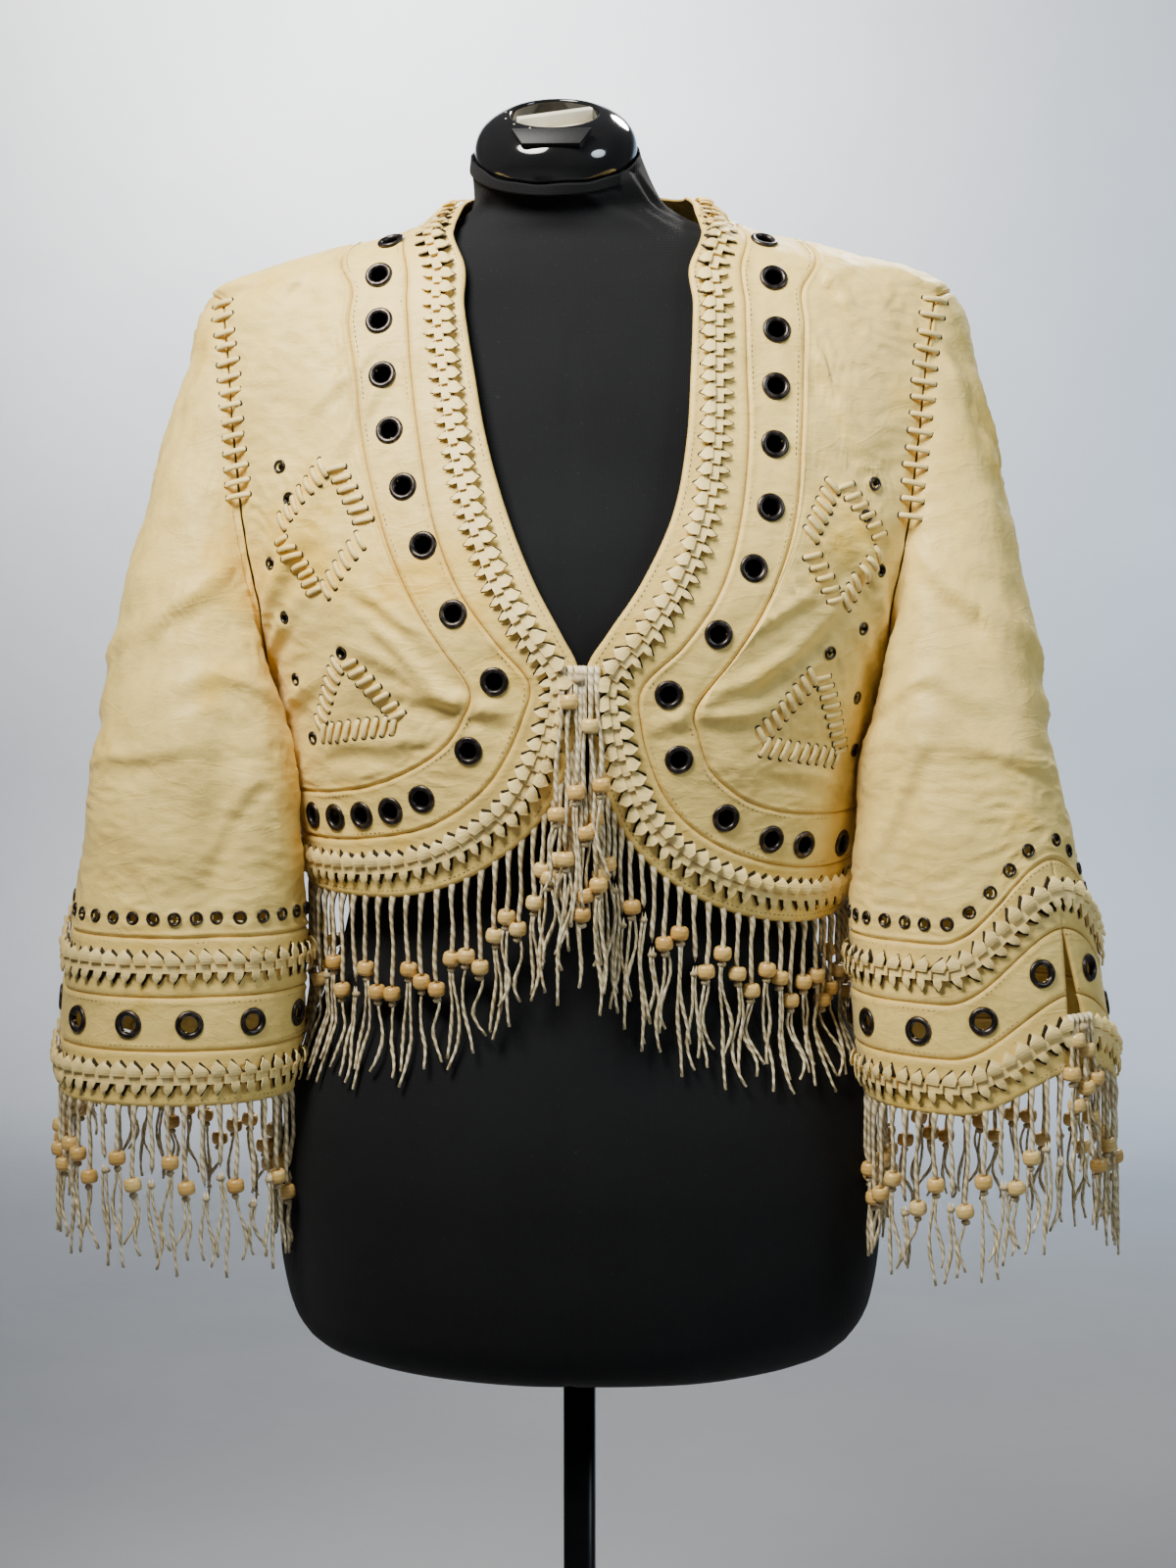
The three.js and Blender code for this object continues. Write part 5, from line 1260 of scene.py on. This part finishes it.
for k, tag in enumerate(TAGS.values()):
    fringe("front_fringe_" + tag, lanes["edge_" + tag], 0.0, "fringe_front_" + tag, 98, 9.4, 11 + 46 * k,
           0.555, 0.995, beaded=0.72, lean=forwards)
    fringe("cuff_fringe_" + tag, lanes["cuff_lower_" + tag], 1.0, "fringe_cuff_" + tag, 86, 9.6, 101 + 46 * k,
           0.01, 0.99)
fringe("back_fringe", lanes["edge_hem"], 0.0, "fringe_back", 98, 8.6, 205, 0.005, 0.995)


def tie(name, seat, out, tangent, rows, nodes, seed):
    """A bunch of thongs from one pair of holes; each row is offset, length, bead and second bead."""
    bm, beads, knots = bmesh.new(), [], []
    for i, (offset, length, bead_at, second) in enumerate(rows):
        root = seat + tangent * offset
        lean = tangent * offset * 0.55 + out * (3 + 1.6 * (i % 3))
        hanging(bm, beads, knots, root, out, tangent, length, bead_at, seed + i * 2.1, lean, second)
    copy_into(bm, knot_shape, Matrix.Translation(seat + Vector((0, 0, -1))) @ Matrix.Scale(1.3, 4))
    strands_object(name, bm, beads, knots, nodes)


closure = Vector(body(np.array([3.0]), np.array([989.0]))[0])
tie("front_tie_bunch", closure + Vector((0, -3.2, 0)), Vector((0, -1, 0)), Vector((1, 0, 0)),
    ((-9, 118, 74, None), (-5, 172, 98, 13), (-1.5, 132, 62, None), (2.5, 150, 84, 118), (6, 178, 112, 26),
     (9.5, 108, 58, None), (0.5, 166, 128, None)), ["front_tie"], 301)
for k, (side, tag) in enumerate(TAGS.items()):
    vent = float(vent_turn(side))
    height = float(cuff_height(side, 2.42, vent))
    matrix = tube_matrix(side, vent, height)
    out = matrix.to_3x3() @ Vector((0, 0, 1))
    out = Vector((out.x, out.y, 0)).normalized()
    tie("vent_tie_bunch_" + tag, matrix.translation + out * 3.8, out, Vector((-out.y, out.x, 0)),
        ((-7, 62, 26, None), (-3.5, 84, 44, 8), (0.5, 70, 34, None), (4, 90, 52, 14), (7.5, 74, 30, None)),
        ["vent_tie_" + tag], 400 + 30 * k)


# Dress form
def on_form(turn, z, share=1.0):
    """Point of the padded torso; share shrinks its section towards the middle."""
    lean = np.radians(value_at(TORSO, "lean", z))
    r = reach(TORSO, turn, z) * share
    x, y = r * np.sin(np.radians(turn)), -r * np.cos(np.radians(turn))
    return np.stack([x + value_at(TORSO, "x", z), y * np.cos(lean) + value_at(TORSO, "y", z),
                     z + y * np.sin(lean)], -1)


FORM_LOW, FORM_HIGH = 583, 1280
# Gathers of the cover at the neck: turn, height, lean, length, width and height of each
FORM_FOLDS = (
    (34, 1258, -52, 34, 4.5, 2.4), (50, 1250, -44, 34, 4.5, 2.1), (66, 1254, -36, 26, 4, 1.6),
    (20, 1246, -30, 34, 4, 1.1), (-28, 1240, 6, 32, 4.5, 1.2), (6, 1238, 2, 40, 4, 1.1),
    (-60, 1252, 28, 26, 5, 1.3), (-150, 1250, 20, 30, 5, 1.2), (150, 1252, -20, 30, 5, 1.2))


def dress_form():
    """Padded torso in a jersey cover, closed below and under the neck plate."""
    columns, rows, ends = 144, 176, 6
    bm = bmesh.new()
    bmesh.ops.create_grid(bm, x_segments=columns, y_segments=rows, size=0.5)
    flat = np.array([vert.co for vert in bm.verts]) + 0.5
    row = np.rint(flat[:, 1] * rows)
    turn = 360 * flat[:, 0]
    t = np.clip((row - ends) / (rows - 2 * ends), 0, 1)
    z = FORM_LOW + (FORM_HIGH - FORM_LOW) * (t + 0.03 * np.sin(2 * math.pi * t))
    share = np.clip(np.minimum(row, rows - row) / ends, 0, 1)
    points = on_form(turn, z, share)
    for vert, point in zip(bm.verts, points):
        vert.co = point
    bmesh.ops.remove_doubles(bm, verts=bm.verts, dist=0.01)
    bmesh.ops.recalc_face_normals(bm, faces=bm.faces)
    bm.normal_update()
    for vert in bm.verts:
        p = vert.co
        around = math.degrees(math.atan2(p.x, AXIS_Y - p.y))
        lift = 0.5 * noise.noise(p / 40)
        for fold_turn, fold_z, lean, length, width, height in FORM_FOLDS:
            flank = math.radians((around - fold_turn + 180) % 360 - 180) * 56
            rise = p.z - fold_z
            lean = math.radians(lean)
            a = flank * math.cos(lean) + rise * math.sin(lean)
            b = (rise * math.cos(lean) - flank * math.sin(lean)) / width
            if abs(a) < 3 * length and abs(b) < 4:
                section = b * math.exp(0.5 - b * b) + 0.6 * math.exp(-b * b)
                lift += height * math.exp(-(a / length) ** 2) * section
        for seam_turn in (-78, 78, 0):
            off = math.radians(around - seam_turn) * 150
            if abs(off) < 8 and p.z < 1180:
                lift -= 0.7 * math.exp(-(off / 1.6) ** 2)
        vert.co += vert.normal * lift
    piece = bits_object("dress_form", bm, [jersey])
    settle(piece, "jersey", "form_torso")


dress_form()
NECK = Matrix.Translation((-12.3, -17, 1280)) @ Matrix.Rotation(math.radians(27), 4, "X")


def on_neck(name, mesh, material, slot, nodes=(), move=Matrix.Identity(4), bevel=0.0):
    """Sets a part on the tilted neck plate."""
    bm = bmesh.new()
    bm.from_mesh(mesh)
    if bevel:
        bmesh.ops.bevel(bm, geom=bm.edges[:], offset=bevel, segments=2, profile=0.5, affect="EDGES",
                        material=-1)
    bmesh.ops.transform(bm, matrix=NECK @ move, verts=bm.verts)
    settle(bits_object(name, bm, [material]), slot, *nodes)


CAP_PROFILE = [
    (0, 0.3), (45.2, 0.3), (46.0, 1.4), (46.5, 4.0), (46.5, 7.5), (46.0, 11.0), (45.0, 14.0), (43.4, 17.0),
    (41.4, 19.6), (38.8, 22.0), (35.6, 24.2), (32.2, 26.0), (29.0, 27.2), (26.6, 27.8), (25.6, 27.7),
    (25.1, 27.1), (25.0, 26.0), (25.0, 17.0), (24.6, 16.3), (0, 16.3)]


def block(name, size, taper=1.0):
    """Box centred on its foot; taper narrows its front."""
    bm = bmesh.new()
    bmesh.ops.create_cube(bm, size=1)
    bmesh.ops.scale(bm, vec=size, verts=bm.verts)
    bmesh.ops.translate(bm, vec=(0, 0, size[2] / 2), verts=bm.verts)
    for vert in bm.verts:
        if vert.co.y < 0:
            vert.co.x *= taper
    return mesh_from(name, bm)


on_neck("neck_cap_shell", turned("cap", CAP_PROFILE, 72, is_ring=False), cap_gloss, "cap", ["neck_cap"])
DISC = [(0, 16.8), (23.4, 16.8), (24.0, 17.4), (24.0, 20.0), (23.4, 20.7), (0, 20.7)]
on_neck("dial_disc", turned("disc", DISC, 56, is_ring=False), dial_cream, "dial", ["neck_dial"])
on_neck("dial_bar", block("bar", (45, 4.8, 7.8)), dial_cream, "dial",
        move=Matrix.Rotation(math.radians(23), 4, "Z") @ Matrix.Translation((0, 0, 20.4)), bevel=0.8)
on_neck("cap_window", block("window", (45, 11, 4.2), 0.72), recess_matt, "cap",
        move=Matrix.Translation((0, -34.0, 22.9)) @ Matrix.Rotation(math.radians(33), 4, "X"), bevel=0.4)
dots = [NECK @ Matrix.Rotation(math.radians(turn), 4, "Z") @ Matrix.Translation((28.4, 0, 27.3))
        for turn in range(100, 250, 24)]
settle(scatter("dial_dots", lump("dot", (0.8, 0.8, 0.25)), dots, [dial_cream]), "dial")


def cover_rim():
    """Turned top of the jersey cover, gathered under the cap and standing a little higher at the sides."""
    bm = bmesh.new()
    bmesh.ops.create_grid(bm, x_segments=120, y_segments=5, size=0.5)
    for vert in bm.verts:
        turn, t = 2 * math.pi * (vert.co.x + 0.5), vert.co.y + 0.5
        height = 2.0 + 1.2 * math.sin(turn) ** 2 + 0.5 * math.sin(5 * turn + 1) + 0.4 * math.sin(11 * turn)
        radius = 49.0 - 1.4 * t + 0.4 * math.sin(7 * turn) * t
        vert.co = NECK @ Vector((radius * math.sin(turn), -radius * math.cos(turn), -4 + (4 + height) * t))
    bmesh.ops.remove_doubles(bm, verts=bm.verts, dist=0.01)
    bmesh.ops.recalc_face_normals(bm, faces=bm.faces)
    piece = bits_object("cover_rim", bm, [jersey])
    thicken(piece, 0.9, 1)
    settle(piece, "jersey")


cover_rim()


POLE_WIDTH, POLE_FOOT, POLE_LENGTH = 19.0, 48.3, 534.4


def stand():
    """Square pole with rounded corners, in the socket of a round base plate."""
    bm = bmesh.new()
    bmesh.ops.create_cube(bm, size=1)
    bmesh.ops.scale(bm, vec=(POLE_WIDTH, POLE_WIDTH, POLE_LENGTH), verts=bm.verts)
    bmesh.ops.translate(bm, vec=(0, 0, POLE_FOOT + POLE_LENGTH / 2), verts=bm.verts)
    corners = [edge for edge in bm.edges if abs(edge.verts[0].co.z - edge.verts[1].co.z) > 1]
    bmesh.ops.bevel(bm, geom=corners, offset=5, segments=6, profile=0.5, affect="EDGES", material=-1)
    piece = bits_object("pole_tube", bm, [pole_black])
    settle(piece, "pole", "pole")
    profile = [(0, 0), (188, 0), (190, 1.2), (190, 5), (188.6, 7), (182, 11)]
    profile += [(182 - 157 * t, 11 + 13 * t ** 0.8) for t in (0.2, 0.4, 0.6, 0.8, 0.94, 1.0)]
    profile += [(22.4, 26), (21, 30), (21, 46), (20, 48), (0, 48)]
    bm = bmesh.new()
    bm.from_mesh(turned("plate", profile, 96, is_ring=False))
    piece = bits_object("base_plate", bm, [base_black])
    settle(piece, "base", "stand_base")


stand()


# Floor, backdrop, light and camera, in metres; the wall stands behind the camera of a view from behind
FLOOR_START, FLOOR_WIDTH, WALL_AT, WALL_HEIGHT, BEND = -6.0, 12.0, 3.9, 3.4, 0.6


def backdrop():
    """Pale sheet that runs along the floor and bends up into the wall."""
    floor, arc = WALL_AT - BEND - FLOOR_START, BEND * math.pi / 2
    bm = bmesh.new()
    bmesh.ops.create_grid(bm, x_segments=24, y_segments=120, size=0.5)
    for vert in bm.verts:
        run = (vert.co.y + 0.5) * (floor + arc + WALL_HEIGHT)
        bend = min(max((run - floor) / arc, 0), 1) * math.pi / 2
        depth = min(run, floor) + BEND * math.sin(bend)
        rise = BEND * (1 - math.cos(bend)) + max(run - floor - arc, 0)
        vert.co = Vector((vert.co.x * FLOOR_WIDTH, FLOOR_START + depth, rise - 0.0005)) / MM
    bmesh.ops.recalc_face_normals(bm, faces=bm.faces)
    cloth = plain("Pale backdrop", (0.74, 0.745, 0.76), (0.68, 0.69, 0.71), 0.9, 2.2, grain=0.45, depth=0.03)
    bits_object("backdrop", bm, [cloth])


def lamp(name, place, aim, size, power, colour=(1, 1, 1), spread=180):
    data = bpy.data.lights.new(name, "AREA")
    data.spread = math.radians(spread)
    data.shape, data.size, data.energy, data.color = "DISK", size, power, colour
    made = bpy.data.objects.new(name, data)
    made.location = place
    made.rotation_euler = (Vector(aim) - Vector(place)).to_track_quat("-Z", "Y").to_euler()
    bpy.context.scene.collection.objects.link(made)


backdrop()
lamp("key", (-0.42, -0.68, 1.98), (0, -0.05, 1.27), 0.6, 7.6, (1, 0.97, 0.90), spread=72)
lamp("side", (1.6, -0.9, 1.9), (0.1, 0, 1.12), 0.7, 2.2, (0.78, 0.92, 1), spread=64)
lamp("wall", (-0.9, 1.9, 3.2), (-0.5, 3.9, 2.0), 1.2, 64, spread=84)
lamp("cool wall", (2.9, 2.2, 2.2), (1.5, 3.9, 1.1), 1.0, 26, (0.45, 0.72, 1), spread=100)
lamp("back", (0.8, 1.8, 2.7), (0, 0.12, 1.05), 0.7, 9, (1, 0.98, 0.95), spread=60)
world = bpy.data.worlds.new("room")
world.use_nodes = True
air = world.node_tree.nodes["Background"]
air.inputs["Color"].default_value = (0.92, 0.95, 1, 1)
air.inputs["Strength"].default_value = 0.10
bpy.context.scene.world = world

lens = bpy.data.cameras.new("photo view")
lens.lens, lens.sensor_width = 58.4, 36
view = bpy.data.objects.new("photo view", lens)
view.location = (0.0835, -1.4977, 1.051)
view.rotation_euler = (Vector((0.005, 0.0003, 0.920)) - view.location).to_track_quat("-Z", "Y").to_euler()
bpy.context.scene.collection.objects.link(view)
bpy.context.scene.camera = view
